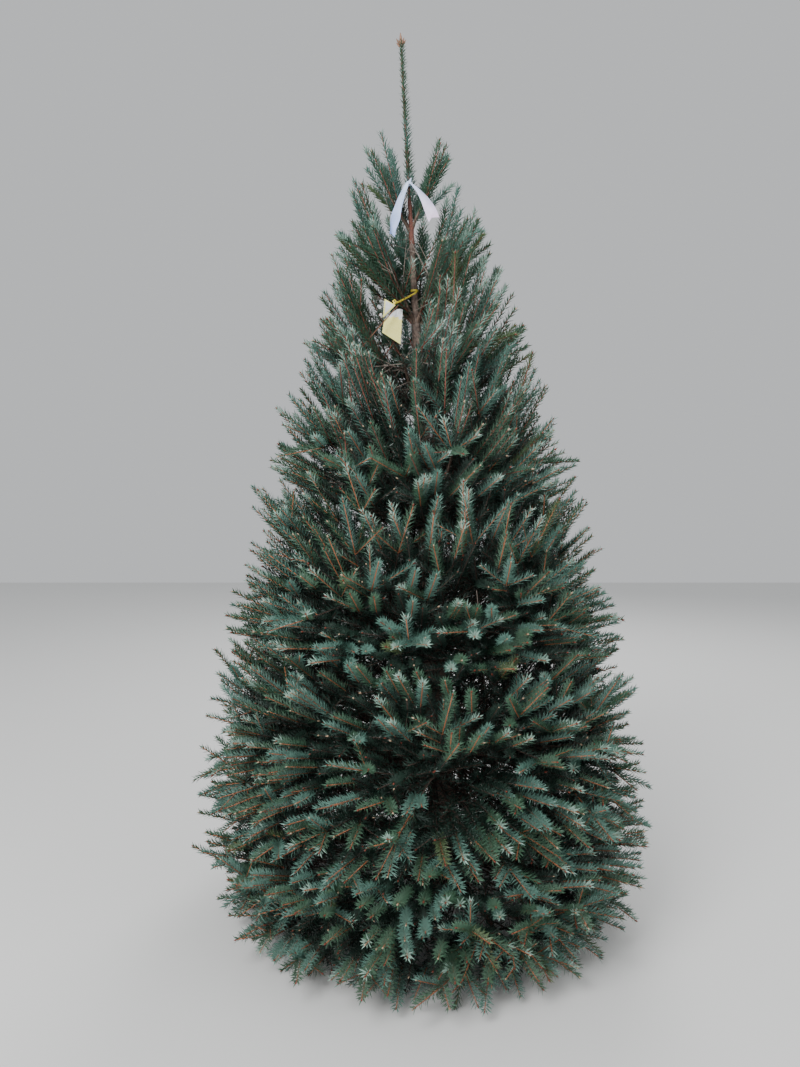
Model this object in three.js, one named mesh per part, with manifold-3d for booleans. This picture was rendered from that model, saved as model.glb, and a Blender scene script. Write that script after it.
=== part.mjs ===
// Sheared farm spruce, rooted in the ground, with a ribbon on its leader and a blank tag on its trunk.
// Millimetres, +Z up. The origin is the middle of the flat cut under the trunk, at ground level.
// The front of the tree faces -Y, and the trunk leans towards -X.
// One rule makes the crown: limbs rise in whorls, each keeps to its own wedge of the crown, and twigs
// branch from each limb until they meet the wedge's sides or the crown's outline.
import * as THREE from 'three';
import { mergeVertices } from 'three/addons/utils/BufferGeometryUtils.js';
import Module from 'manifold-3d';

const wasm = await Module();
wasm.setup();

// Whole tree
const seed = 1789;
const treeHeight = 2250;
const lean = -0.0565;
const clearance = 0.3;

// Trunk
const footRadius = 38;
const taperPower = 0.775;
const flareSpread = 14;
const flareHeight = 45;
const flareLobes = 5;
const flareLobeDepth = 0.14;
const trunkSides = 10;
const whorlSwelling = 0.07;
const swellingFoot = 30;
const swellingRise = 5;
const flareStations = [0, 20, 50, 95];
const leaderFoot = 1800;
const leaderRadius = 4.5;
const leaderTipRadius = 2;
const trunkTop = 2222;

// Crown outline
const crownRadius = 585;
const widestHeight = 270;
const crownTop = 2200;
const outlinePower = 1.45;
const hemTuck = 0.15;
const crownShift = -62;
const shiftEnds = 1450;
const groundClear = 8;

// Limbs: a limb that leaves the trunk at height h rises by lowSlope + slopeGain * h
const whorlHeights = [130, 400, 680, 970, 1270, 1520, 1760];
const limbsPerWhorl = 5;
const whorlTurn = 0.777;
const boughWhorls = 4;
const lowSlope = -0.25;
const slopeGain = 0.0012;
const topWedgeHeight = 1830;
const firstTurn = 0.05;
const turnJitter = 0.1;
const startJitter = 12;
const reachShares = [0.95, 1.02];
const limbSag = 0.05;
const boughShare = 0.4;
const boughSides = 6;
const boughRings = 4;
const boughThickness = 0.36;
const boughTaper = 0.45;

// Twigs and sprays
const stemTipRadius = 2.4;
const stemShare = 0.55;
const stemFit = 0.94;
const stemStations = [0, 0.35, 0.7, 1];
const twigRadius = 2.6;
const firstBranch = 6;
const twigSpread = 0.8;
const sprayLength = 80;
const sprayLengthGain = 0.21;
const sprayShortest = 60;
const sprayLengthShares = [0.85, 1.1];
const sprayHalfWidth = 0.38;
const sprayKeel = 5;
const sprayRoll = 1.0;
const bladeOutline = [[0.3, 1], [0.38, 0.42], [0.62, 0.72]];
const bladeSweep = 0.08;
const outwardRise = 0.35;
const rootDepth = 10;
const tipRoll = 0.4;
const tipOutline = 1.04;
const outlineSlack = 1.02;
const fitShares = [1, 0.9, 0.8, 0.7, 0.6, 0.5];
const tipSpacing = 80;
const tipSpacingGain = 0.134;
const tipEdge = 22;
const tipEdgeGain = 0.07;
const targetJitter = 0.1;
const targetOutlines = [0.93, 1.03];
const tipClear = 85;
const wedgeMargin = 3;
const leaderSpace = 24;
const hangingSpacing = 3;

// Leader
const sleeveFoot = 1812;
const sleeveRadius = 8;
const sleeveTipRadius = 4.6;
const sleeveSides = 8;
const sleeveOver = 8;
const tuftLength = 34;
const tuftSpread = 8.5;
const tuftRadius = 2.2;
const tuftPitch = 26;
const tuftTurn = 2.4;
const tuftRootOut = 2;
const tuftInset = 7;
const crownTufts = 5;
const crownTuftDrop = 12;
const crownTuftLength = 0.8;
const budRootOver = 2;
const budRadius = 4.2;
const budShoulderOver = 14;
const budShoulderRadius = 3.6;
const budSides = 6;

// Ribbon
const ribbonHeight = 1871;
const ribbonWidth = 28;
const ribbonThickness = 1.6;
const ribbonRingRadius = 11.5;
const ribbonFront = -17;
const ribbonGap = 10;
const knotRadii = [9, 6.5, 8];
const bandHeight = 12;
const bandSink = 2;
const tailBow = 4;
const leftTail = { reach: -50, height: 1732, front: -46 };
const rightTail = { reach: 56, height: 1764, front: -66 };

// Tag
const strapHeight = 1606;
const strapWidth = 9;
const strapThickness = 1.4;
const tagWidth = 50;
const tagLength = 92;
const tagHook = { reach: -54, height: 1561, front: -62 };
const tagTilt = 0.42;
const tagTwist = 0.25;
const tagDrift = 26;
const tagCorner = 5;
const tagOver = 4;
const strapInner = 8;
const strapLooseness = 3.2;
const strapAside = 6;

// Even chance from 0 to 1, the same for the same keys
function chance(...keys) {
  let mixed = seed;
  for (const key of keys) {
    mixed = Math.imul(mixed ^ key, 0x9e3779b1);
    mixed ^= mixed >>> 15;
    mixed = Math.imul(mixed, 0x85ebca77);
    mixed ^= mixed >>> 13;
  }
  return (mixed >>> 0) / 4294967296;
}

function vary(low, high, ...keys) {
  return low + (high - low) * chance(...keys);
}

// Closed body through rings of equal count; a ring of one point closes an end as an apex
function loft(rings) {
  const points = rings.flat();
  const sides = Math.max(...rings.map((ring) => ring.length));
  const triangles = [];
  let first = 0;
  for (let ringIndex = 0; ringIndex < rings.length - 1; ringIndex += 1) {
    const here = rings[ringIndex].length;
    const next = first + here;
    for (let side = 0; side < sides; side += 1) {
      const after = (side + 1) % sides;
      if (here === 1) {
        triangles.push(first, next + after, next + side);
      } else if (rings[ringIndex + 1].length === 1) {
        triangles.push(first + side, first + after, next);
      } else {
        triangles.push(first + side, first + after, next + after);
        triangles.push(first + side, next + after, next + side);
      }
    }
    first = next;
  }
  const last = rings[rings.length - 1].length;
  for (let side = 1; side < sides - 1; side += 1) {
    if (rings[0].length > 1) triangles.push(0, side + 1, side);
    if (last > 1) triangles.push(first, first + side, first + side + 1);
  }
  const geometry = new THREE.BufferGeometry().setFromPoints(points);
  geometry.setIndex(triangles);
  return geometry;
}

// Ring of equal sides round a centre, square to a direction; the first corner lies towards a side
function ringAt(centre, direction, radius, sides, towards = new THREE.Vector3(0, 0, 1)) {
  const across = new THREE.Vector3().crossVectors(direction, towards).normalize();
  const above = new THREE.Vector3().crossVectors(across, direction).normalize();
  return Array.from({ length: sides }, (_, side) => {
    const turn = (2 * Math.PI * side) / sides;
    return centre.clone()
      .addScaledVector(above, radius * Math.cos(turn))
      .addScaledVector(across, radius * Math.sin(turn));
  });
}

// Join and cut
function toSolid(geometry) {
  const plain = geometry.clone();
  plain.deleteAttribute('normal');
  plain.deleteAttribute('uv');
  const merged = mergeVertices(plain, 1e-4);
  return new wasm.Manifold(new wasm.Mesh({
    numProp: 3,
    vertProperties: new Float32Array(merged.attributes.position.array),
    triVerts: new Uint32Array(merged.index.array),
  }));
}

function toGeometry(solid) {
  const mesh = solid.getMesh();
  const geometry = new THREE.BufferGeometry();
  geometry.setAttribute('position', new THREE.BufferAttribute(new Float32Array(mesh.vertProperties), 3));
  geometry.setIndex(new THREE.BufferAttribute(new Uint32Array(mesh.triVerts), 1));
  geometry.computeVertexNormals();
  return geometry;
}

function joinAll(solids) {
  return solids.reduce((joined, solid) => joined.add(solid));
}

// Largest body of a join, with loose scraps dropped
function mainBody(solid) {
  const bodies = solid.decompose();
  return bodies.reduce((largest, body) => (body.volume() > largest.volume() ? body : largest));
}

// Trunk
function trunkAxis(height) {
  return new THREE.Vector3(lean * height, 0, height);
}

const trunkDirection = new THREE.Vector3(lean, 0, 1).normalize();

function trunkRadius(height) {
  if (height >= leaderFoot) {
    const share = Math.min((height - leaderFoot) / (trunkTop - leaderFoot), 1);
    return leaderRadius + (leaderTipRadius - leaderRadius) * share;
  }
  const taper = footRadius * (1 - height / treeHeight) ** taperPower;
  return taper + flareSpread * Math.exp(-height / flareHeight);
}

function trunkRing(height, growth, swelling) {
  const fade = Math.exp(-height / (2 * flareHeight));
  return Array.from({ length: trunkSides }, (_, side) => {
    const turn = (2 * Math.PI * side) / trunkSides;
    const lobe = 1 + flareLobeDepth * fade * Math.cos(flareLobes * turn);
    const radius = trunkRadius(height) * lobe * (1 + swelling) + growth;
    const axis = trunkAxis(height);
    return new THREE.Vector3(axis.x + radius * Math.cos(turn), radius * Math.sin(turn), height);
  });
}

function trunkGeometry(growth) {
  const flareRings = flareStations.map((height) => trunkRing(height, growth, 0));
  const whorlRings = whorlHeights.flatMap((height) => [
    trunkRing(height - swellingFoot, growth, 0),
    trunkRing(height + swellingRise, growth, whorlSwelling),
  ]);
  const leaderRings = [leaderFoot, (leaderFoot + trunkTop) / 2, trunkTop];
  const topRings = leaderRings.map((height) => trunkRing(height, growth, 0));
  return loft([...flareRings, ...whorlRings, ...topRings]);
}

// Crown outline: reach from the trunk's axis at a height and a turn round it
function crownReach(height, turn) {
  const share = (height - widestHeight) / (crownTop - widestHeight);
  const belowShare = Math.max((widestHeight - height) / widestHeight, 0);
  const round = share > 0 ? 1 - Math.min(share, 1) ** outlinePower : 1 - hemTuck * belowShare ** 2;
  const shift = crownShift * Math.max(1 - height / shiftEnds, 0);
  return crownRadius * round + shift * Math.cos(turn);
}

// Height at which the limb line through a point leaves the trunk
function lineHeight(reach, height) {
  return (height - lowSlope * reach) / (1 + slopeGain * reach);
}

function limbPoint(limb, reach) {
  const slope = lowSlope + slopeGain * limb.height;
  const sag = limbSag * limb.reach * Math.sin((Math.PI * reach) / limb.reach);
  const height = limb.height + reach * slope - sag;
  const axis = trunkAxis(height);
  return new THREE.Vector3(axis.x + reach * Math.cos(limb.turn), reach * Math.sin(limb.turn), height);
}

// Reach at which a limb line meets the crown's outline
function limbReach(height, turn) {
  const slope = lowSlope + slopeGain * height;
  let near = 0;
  let far = crownRadius + Math.abs(crownShift);
  for (let step = 0; step < 30; step += 1) {
    const middle = (near + far) / 2;
    if (middle < crownReach(height + middle * slope, turn)) {
      near = middle;
    } else {
      far = middle;
    }
  }
  return near;
}

// Limbs of all whorls; the top whorl has none in front, where the ribbon hangs
function makeLimbs() {
  const limbs = [];
  const halfTurn = Math.PI / limbsPerWhorl;
  whorlHeights.forEach((height, whorl) => {
    const below = whorl ? (whorlHeights[whorl - 1] + height) / 2 : lineHeight(crownRadius, groundClear);
    const above = whorl + 1 < whorlHeights.length ? (whorlHeights[whorl + 1] + height) / 2 : topWedgeHeight;
    for (let place = 0; place < limbsPerWhorl; place += 1) {
      const middleTurn = firstTurn + whorl * whorlTurn + 2 * halfTurn * place;
      const facesFront = Math.sin(middleTurn) < -Math.cos(halfTurn / 2);
      if (whorl === whorlHeights.length - 1 && facesFront) continue;
      const turn = middleTurn + vary(-turnJitter, turnJitter, whorl, place, 1);
      const start = height + vary(-startJitter, startJitter, whorl, place, 2);
      const reach = limbReach(start, turn) * vary(...reachShares, whorl, place, 3);
      limbs.push({
        name: `${whorl + 1}_${place + 1}`,
        whorl,
        place,
        height: start,
        turn,
        reach,
        middleTurn,
        halfTurn,
        below,
        above,
        hasBough: whorl < boughWhorls,
      });
    }
  });
  return limbs;
}

function boughRadius(limb, reach) {
  const base = boughThickness * trunkRadius(limb.height);
  const share = reach / (boughShare * limb.reach);
  return base * (1 - boughTaper * share);
}

function directionAlong(limb, reach) {
  return limbPoint(limb, reach + 1).sub(limbPoint(limb, reach - 1)).normalize();
}

function boughGeometry(limb) {
  const end = boughShare * limb.reach;
  const rings = Array.from({ length: boughRings }, (_, index) => {
    const reach = (end * index) / (boughRings - 1);
    const direction = directionAlong(limb, reach);
    return ringAt(limbPoint(limb, reach), direction, boughRadius(limb, reach), boughSides);
  });
  return loft(rings);
}

// Spaces that twigs and sprays keep out of: each a rounded bar between two points
function placeBeside(reach, height, front) {
  return new THREE.Vector3(trunkAxis(height).x + reach, front, height);
}

const ribbonKnot = placeBeside(0, ribbonHeight, ribbonFront);
const leftTailEnd = placeBeside(leftTail.reach, leftTail.height, leftTail.front);
const rightTailEnd = placeBeside(rightTail.reach, rightTail.height, rightTail.front);
const tagTop = placeBeside(tagHook.reach, tagHook.height, tagHook.front);
const tagEnd = placeBeside(tagHook.reach - tagDrift, tagHook.height - tagLength, tagHook.front);
const strapMiddle = placeBeside(0, strapHeight, 0);

const keptClear = [
  { from: ribbonKnot, to: leftTailEnd, radius: 26 },
  { from: ribbonKnot, to: rightTailEnd, radius: 26 },
  { from: tagTop, to: tagEnd, radius: 34 },
  { from: strapMiddle, to: tagTop, radius: 14 },
  { from: strapMiddle, to: strapMiddle, radius: 26 },
];

function distanceToBar(point, bar) {
  const run = bar.to.clone().sub(bar.from);
  const share = run.lengthSq() > 0 ? point.clone().sub(bar.from).dot(run) / run.lengthSq() : 0;
  const nearest = bar.from.clone().addScaledVector(run, THREE.MathUtils.clamp(share, 0, 1));
  return nearest.distanceTo(point);
}

function turnBetween(turn, other) {
  return Math.abs(THREE.MathUtils.euclideanModulo(turn - other + Math.PI, 2 * Math.PI) - Math.PI);
}

// True where a point lies in a limb's own wedge of the crown, clear of all that passes through it
function isInside(limb, point, outline) {
  const offset = point.x - lean * point.z;
  const reach = Math.hypot(offset, point.y);
  const turn = Math.atan2(point.y, offset);
  const gap = turnBetween(turn, limb.middleTurn);
  const lift = 1 + slopeGain * reach;
  const line = lineHeight(reach, point.z);
  const besideLeader = point.z > leaderFoot - leaderSpace;
  const inner = besideLeader ? leaderSpace : trunkRadius(Math.max(point.z, 0)) + wedgeMargin;
  return point.z > groundClear
    && reach > inner
    && reach < crownReach(point.z, turn) * outline
    && reach * Math.sin(Math.max(limb.halfTurn - gap, 0)) > wedgeMargin
    && (limb.whorl === 0 || (line - limb.below) * lift > wedgeMargin)
    && (limb.above - line) * lift > wedgeMargin * 2
    && keptClear.every((bar) => distanceToBar(point, bar) > bar.radius);
}

// Point on the crown's outline that a limb line from a height reaches at a turn
function outlinePoint(height, turn, outline) {
  const reach = limbReach(height, turn) * outline;
  const level = height + reach * (lowSlope + slopeGain * height);
  const axis = trunkAxis(level);
  return new THREE.Vector3(axis.x + reach * Math.cos(turn), reach * Math.sin(turn), level);
}

// Twig with its side shoots as a toothed blade: it widens along the stalk, then has two pairs of teeth
function sprayGeometry(root, tip, stalk, faceTurn) {
  const blade = root.distanceTo(tip) - stalk;
  const direction = tip.clone().sub(root).normalize();
  const middle = root.clone().lerp(tip, 0.5);
  const outward = new THREE.Vector3(middle.x - lean * middle.z, middle.y, 0).normalize().setZ(outwardRise);
  const side = new THREE.Vector3().crossVectors(direction, outward).normalize();
  side.applyAxisAngle(direction, faceTurn);
  const face = new THREE.Vector3().crossVectors(side, direction);
  const section = (along, half, sweep, keel) => [
    root.clone().addScaledVector(direction, along + sweep).addScaledVector(side, -half),
    root.clone().addScaledVector(direction, along + sweep).addScaledVector(side, half),
    root.clone().addScaledVector(direction, along).addScaledVector(face, -keel),
  ];
  const rings = [section(0, twigRadius, 0, sprayKeel)];
  for (const [along, halfShare] of bladeOutline) {
    const half = halfShare * sprayHalfWidth * blade;
    rings.push(section(stalk + along * blade, half, bladeSweep * blade, sprayKeel));
  }
  rings.push([tip.clone()]);
  return loft(rings);
}

// Longest spray on a line from a root that stays inside its wedge, or none
function fitSpray(limb, root, direction, reach, stalk, faceTurn, outline) {
  for (const share of fitShares) {
    const fitted = stalk + (reach - stalk) * share;
    if (fitted - stalk < sprayShortest) return null;
    const geometry = sprayGeometry(root, root.clone().addScaledVector(direction, fitted), stalk, faceTurn);
    const corners = geometry.attributes.position;
    let fits = true;
    for (let index = 3; index < corners.count && fits; index += 1) {
      const corner = new THREE.Vector3().fromBufferAttribute(corners, index);
      fits = isInside(limb, corner, outline * outlineSlack);
    }
    if (fits) return geometry;
  }
  return null;
}

// Targets on the crown's outline that a limb's twigs grow towards, in staggered rows
function twigTargets(limb) {
  const spacing = tipSpacing + tipSpacingGain * limb.reach;
  const edge = tipEdge + tipEdgeGain * limb.reach;
  const lift = 1 + slopeGain * limb.reach;
  const tall = (limb.above - limb.below) * lift;
  const rows = Math.max(Math.round(tall / spacing), 2);
  const columns = Math.max(Math.round((2 * limb.halfTurn * limb.reach) / spacing), 2);
  const halfWidth = limb.halfTurn - edge / limb.reach;
  const targets = [];
  for (let row = 0; row < rows; row += 1) {
    const isInner = row % 2 === 1;
    const count = isInner ? columns - 1 : columns;
    for (let column = 0; column < count; column += 1) {
      const keys = [limb.whorl, limb.place, row, column];
      const rowShare = (row + vary(-targetJitter, targetJitter, ...keys, 4)) / (rows - 1);
      const shifted = column + (isInner ? 0.5 : 0);
      const columnShare = (shifted + vary(-targetJitter, targetJitter, ...keys, 5)) / (columns - 1);
      const height = limb.below + (edge + (tall - 2 * edge) * rowShare) / lift;
      const turn = limb.middleTurn + halfWidth * (2 * columnShare - 1);
      const outline = vary(...targetOutlines, ...keys, 6);
      targets.push({ point: outlinePoint(height, turn, outline), outline, keys });
    }
  }
  return targets;
}

// Reach at which a twig leaves its stem, so that it meets its target at the twig's spread
function branchReach(limb, point, from, end) {
  const reach = Math.hypot(point.x - lean * point.z, point.y);
  const aside = limbPoint(limb, Math.min(reach, limb.reach)).distanceTo(point);
  return THREE.MathUtils.clamp(reach - aside / Math.tan(twigSpread), from, end);
}

// Mass of twigs and sprays on one stem, which starts just past its bough's tip or at the trunk
function massSolid(limb, trunkSpace, hangingSpace) {
  const boughEnd = boughShare * limb.reach;
  const from = limb.hasBough ? boughEnd : 0;
  const boughEndRadius = boughRadius(limb, boughEnd) * stemFit;
  const thick = limb.hasBough ? boughEndRadius : boughThickness * trunkRadius(limb.height);
  const end = from + (limb.reach - from) * stemShare;
  const first = limbPoint(limb, from);
  if (limb.hasBough) first.addScaledVector(directionAlong(limb, from), clearance);
  const rings = stemStations.map((share) => {
    const reach = from + (end - from) * share;
    const centre = share ? limbPoint(limb, reach) : first;
    const radius = thick + (stemTipRadius - thick) * share;
    return ringAt(centre, directionAlong(limb, reach), radius, 3);
  });
  const solids = [toSolid(loft(rings))];
  const tip = limbPoint(limb, limb.reach);
  const tipDirection = directionAlong(limb, end);
  const tipRoot = limbPoint(limb, end).addScaledVector(tipDirection, -rootDepth);
  const tipFace = vary(-tipRoll, tipRoll, limb.whorl, limb.place, 9);
  const tipSpray = fitSpray(limb, tipRoot, tipDirection, tip.distanceTo(tipRoot), 0, tipFace, tipOutline);
  if (tipSpray) solids.push(toSolid(tipSpray));
  const blade = sprayLength + sprayLengthGain * limb.reach;
  for (const { point, outline, keys } of twigTargets(limb)) {
    if (point.distanceTo(tip) < tipClear) continue;
    const start = limbPoint(limb, branchReach(limb, point, from + firstBranch, end));
    const direction = point.clone().sub(start).normalize();
    const length = point.distanceTo(start);
    const stalk = Math.max(length - blade * vary(...sprayLengthShares, ...keys, 7), 0);
    const faceTurn = vary(-sprayRoll, sprayRoll, ...keys, 8);
    const spray = fitSpray(limb, start, direction, length, stalk, faceTurn, outline);
    if (spray) solids.push(toSolid(spray));
  }
  const joined = joinAll(solids);
  return mainBody(limb.hasBough ? joined : joined.subtract(trunkSpace).subtract(hangingSpace));
}

// Leader: a sleeve round the trunk's top shoot, with tufts of needles that stand out of it
function sleeveSolid(growth, trunkSpace) {
  const rings = [sleeveFoot, (sleeveFoot + trunkTop) / 2, trunkTop + sleeveOver].map((height) => {
    const share = (height - sleeveFoot) / (trunkTop - sleeveFoot);
    const radius = sleeveRadius + (sleeveTipRadius - sleeveRadius) * share + growth;
    return ringAt(trunkAxis(height), trunkDirection, radius, sleeveSides, new THREE.Vector3(1, 0, 0));
  });
  return toSolid(loft(rings)).subtract(trunkSpace);
}

function tuftGeometry(height, turn, lengthShare) {
  const out = new THREE.Vector3(Math.cos(turn), Math.sin(turn), 0);
  const root = trunkAxis(height).addScaledVector(out, trunkRadius(height) + tuftRootOut);
  const tip = root.clone().addScaledVector(trunkDirection, tuftLength * lengthShare);
  tip.addScaledVector(out, tuftSpread);
  const direction = tip.clone().sub(root).normalize();
  return loft([ringAt(root, direction, tuftRadius, 3), [tip]]);
}

function leaderSolid(trunkSpace) {
  const tufts = [];
  for (let height = sleeveFoot + tuftInset; height < trunkTop - tuftInset; height += tuftPitch) {
    const meetsRibbon = height + tuftLength > ribbonHeight - ribbonGap && height < ribbonHeight + ribbonGap;
    const turn = (height / tuftPitch) * tuftTurn;
    if (!meetsRibbon) tufts.push(toSolid(tuftGeometry(height, turn, 1)));
  }
  for (let index = 0; index < crownTufts; index += 1) {
    const turn = (2 * Math.PI * index) / crownTufts;
    tufts.push(toSolid(tuftGeometry(trunkTop - crownTuftDrop, turn, crownTuftLength)));
  }
  const bud = loft([
    ringAt(trunkAxis(trunkTop + budRootOver), trunkDirection, budRadius, budSides),
    ringAt(trunkAxis(trunkTop + budShoulderOver), trunkDirection, budShoulderRadius, budSides),
    [trunkAxis(treeHeight)],
  ]);
  const parts = [sleeveSolid(0, trunkSpace), toSolid(bud), ...tufts];
  return mainBody(joinAll(parts).subtract(trunkSpace));
}

// Ribbon: a ring round the leader, a knot in front, and two flat tails that hang from it
function stripGeometry(from, to, width, thickness, widthTowards) {
  const middle = from.clone().lerp(to, 0.5).add(new THREE.Vector3(0, -tailBow, 0));
  return loft([from, middle, to].map((centre) => {
    const direction = to.clone().sub(from).normalize();
    const across = widthTowards.clone().addScaledVector(direction, -widthTowards.dot(direction));
    across.normalize();
    const face = new THREE.Vector3().crossVectors(direction, across).normalize();
    return [[1, 1], [-1, 1], [-1, -1], [1, -1]].map(([wide, deep]) => centre.clone()
      .addScaledVector(across, (wide * width) / 2)
      .addScaledVector(face, (deep * thickness) / 2));
  }));
}

function ringBand(centre, inner, outer, height) {
  const profile = [[inner, -height], [outer, -height], [outer, height], [inner, height], [inner, -height]];
  const points = profile.map(([radius, level]) => new THREE.Vector2(radius, level / 2));
  const geometry = new THREE.LatheGeometry(points, 12);
  return geometry.rotateX(Math.PI / 2).translate(centre.x, centre.y, centre.z);
}

function ribbonTails(growth) {
  const sideways = new THREE.Vector3(1, 0, 0);
  return [leftTailEnd, rightTailEnd].map((end) => {
    const width = ribbonWidth + 2 * growth;
    return toSolid(stripGeometry(ribbonKnot, end, width, ribbonThickness + 2 * growth, sideways));
  });
}

function ribbonSolid(sleeveSpace) {
  const knot = new THREE.SphereGeometry(1, 8, 6).scale(...knotRadii);
  knot.translate(ribbonKnot.x, ribbonKnot.y, ribbonKnot.z);
  const middle = placeBeside(0, ribbonHeight, 0);
  const band = ringBand(middle, sleeveRadius - bandSink, ribbonRingRadius, bandHeight);
  const tails = ribbonTails(0);
  return mainBody(joinAll([toSolid(band), toSolid(knot), ...tails]).subtract(sleeveSpace));
}

// Tag: a blank plate on a strap that rings the trunk
function tagPlates(growth) {
  const ringFront = placeBeside(strapAside, strapHeight, -trunkRadius(strapHeight));
  const upright = new THREE.Vector3(0, 0, 1);
  const thickness = strapThickness + 2 * growth;
  const strap = stripGeometry(ringFront, tagTop, strapWidth + 2 * growth, thickness, upright);
  const half = tagWidth / 2 + growth;
  const top = tagOver + growth;
  const foot = tagOver - tagLength - growth;
  const outline = new THREE.Shape();
  outline.moveTo(-half + tagCorner, top);
  outline.lineTo(half - tagCorner, top);
  outline.lineTo(half, top - tagCorner);
  outline.lineTo(half, foot);
  outline.lineTo(-half, foot);
  outline.lineTo(-half, top - tagCorner);
  const plate = new THREE.ExtrudeGeometry(outline, { depth: thickness, bevelEnabled: false });
  plate.translate(0, 0, -growth).rotateX(Math.PI / 2).rotateY(-tagTilt).rotateZ(-tagTwist);
  plate.translate(tagTop.x, tagTop.y, tagTop.z);
  return [toSolid(strap), toSolid(plate)];
}

function tagSolid(trunkSpace) {
  const band = ringBand(strapMiddle, strapInner, trunkRadius(strapHeight) + strapLooseness, strapWidth);
  return mainBody(joinAll([toSolid(band), ...tagPlates(0)]).subtract(trunkSpace));
}

// Materials
function finish(color, roughness) {
  return new THREE.MeshStandardMaterial({ color, roughness, metalness: 0 });
}

const bark = finish(0x6f6058, 0.9);
const needles = finish(0x3c5a50, 0.7);
const ribbonFilm = finish(0xe4e4ec, 0.5);
const tagFilm = finish(0xe8de7a, 0.6);

// Assembly
const spruce = new THREE.Group();

function addPart(name, geometry, material) {
  const mesh = new THREE.Mesh(geometry, material);
  mesh.name = name;
  spruce.add(mesh);
}

const trunkSpace = toSolid(trunkGeometry(clearance));
const hangingSpace = joinAll([...ribbonTails(hangingSpacing), ...tagPlates(hangingSpacing)]);
addPart('trunk', trunkGeometry(0), bark);
for (const limb of makeLimbs()) {
  if (limb.hasBough) {
    const bough = toSolid(boughGeometry(limb)).subtract(trunkSpace);
    addPart(`bough_${limb.name}`, toGeometry(mainBody(bough)), bark);
  }
  addPart(`foliage_${limb.name}`, toGeometry(massSolid(limb, trunkSpace, hangingSpace)), needles);
}
addPart('foliage_leader', toGeometry(leaderSolid(trunkSpace)), needles);
addPart('ribbon', toGeometry(ribbonSolid(sleeveSolid(clearance, trunkSpace).add(trunkSpace))), ribbonFilm);
addPart('tag', toGeometry(tagSolid(trunkSpace)), tagFilm);

export default spruce;
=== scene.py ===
import math
from collections import namedtuple
import bpy
import numpy as np
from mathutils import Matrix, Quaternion, Vector


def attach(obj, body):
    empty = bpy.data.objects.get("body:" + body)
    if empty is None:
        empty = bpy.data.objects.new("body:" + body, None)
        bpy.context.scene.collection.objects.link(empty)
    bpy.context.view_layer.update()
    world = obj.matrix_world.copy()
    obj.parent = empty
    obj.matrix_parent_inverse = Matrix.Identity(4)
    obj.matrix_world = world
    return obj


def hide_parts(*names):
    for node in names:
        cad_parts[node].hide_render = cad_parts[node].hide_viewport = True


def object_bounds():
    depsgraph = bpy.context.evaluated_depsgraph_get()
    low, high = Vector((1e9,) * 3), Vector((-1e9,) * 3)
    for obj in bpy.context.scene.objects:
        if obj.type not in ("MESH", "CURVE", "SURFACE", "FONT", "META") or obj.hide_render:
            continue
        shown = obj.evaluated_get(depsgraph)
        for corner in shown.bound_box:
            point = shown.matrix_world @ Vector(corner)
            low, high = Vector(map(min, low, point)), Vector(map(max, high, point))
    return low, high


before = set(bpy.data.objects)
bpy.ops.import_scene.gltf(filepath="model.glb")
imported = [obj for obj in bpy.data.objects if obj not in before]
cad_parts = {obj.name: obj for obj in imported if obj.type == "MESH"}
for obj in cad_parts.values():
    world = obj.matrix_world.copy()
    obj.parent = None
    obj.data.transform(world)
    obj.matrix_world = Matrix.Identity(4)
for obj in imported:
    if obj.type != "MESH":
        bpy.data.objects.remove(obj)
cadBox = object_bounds()
up = Vector((0, 0, 1))
goldenTurn = 2.39996

# The tree's driving sizes, in metres, the same as the solids were made from
tree = {
    "seed": 1789,
    "height": 2.25,
    "lean": -0.0565,
    "footRadius": 0.038,
    "taperPower": 0.775,
    "flareSpread": 0.014,
    "flareHeight": 0.045,
    "flareLobes": 5,
    "flareLobeDepth": 0.14,
    "leaderFoot": 1.8,
    "leaderRadius": 0.0045,
    "leaderTipRadius": 0.002,
    "trunkTop": 2.222,
}
crown = {
    "radius": 0.585,
    "widestHeight": 0.27,
    "top": 2.2,
    "outlinePower": 1.45,
    "hemTuck": 0.15,
    "shift": -0.062,
    "shiftEnds": 1.45,
    "groundClear": 0.008,
    "trunkClear": 0.012,
    "whorlHeights": [0.13, 0.40, 0.68, 0.97, 1.27, 1.52, 1.76],
    "limbsPerWhorl": 5,
    "boughWhorls": 4,
    "lowSlope": -0.25,
    "slopeGain": 1.2,
    "topWedgeHeight": 1.83,
    "firstTurn": 0.05,
    "whorlTurn": 0.777,
    "turnJitter": 0.1,
    "heightJitter": 0.012,
    "reaches": (0.95, 1.02),
    "limbSag": 0.05,
    "boughShare": 0.4,
    "boughThickness": 0.36,
    "boughTaper": 0.45,
    "stemShare": 0.55,
    "stemTipRadius": 0.0024,
    "twigSpread": 0.8,
    "tipSpacing": 0.080,
    "tipSpacingGain": 0.134,
    "tipEdge": 0.022,
    "tipEdgeGain": 0.07,
    "targetJitter": 0.1,
    "outlines": (0.93, 1.03),
    "tipClear": 0.085,
}
lastWhorl = len(crown["whorlHeights"]) - 1


# Even chance from 0 to 1, the same for the same keys; the last key tells one draw from another
def chance(*keys):
    mixed = tree["seed"]
    for key in keys:
        mixed = ((mixed ^ key) * 0x9E3779B1) & 0xFFFFFFFF
        mixed ^= mixed >> 15
        mixed = (mixed * 0x85EBCA77) & 0xFFFFFFFF
        mixed ^= mixed >> 13
    return mixed / 4294967296


def vary(low, high, *keys):
    return low + (high - low) * chance(*keys)


def trunkAxis(height):
    return Vector((tree["lean"] * height, 0, height))


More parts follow.
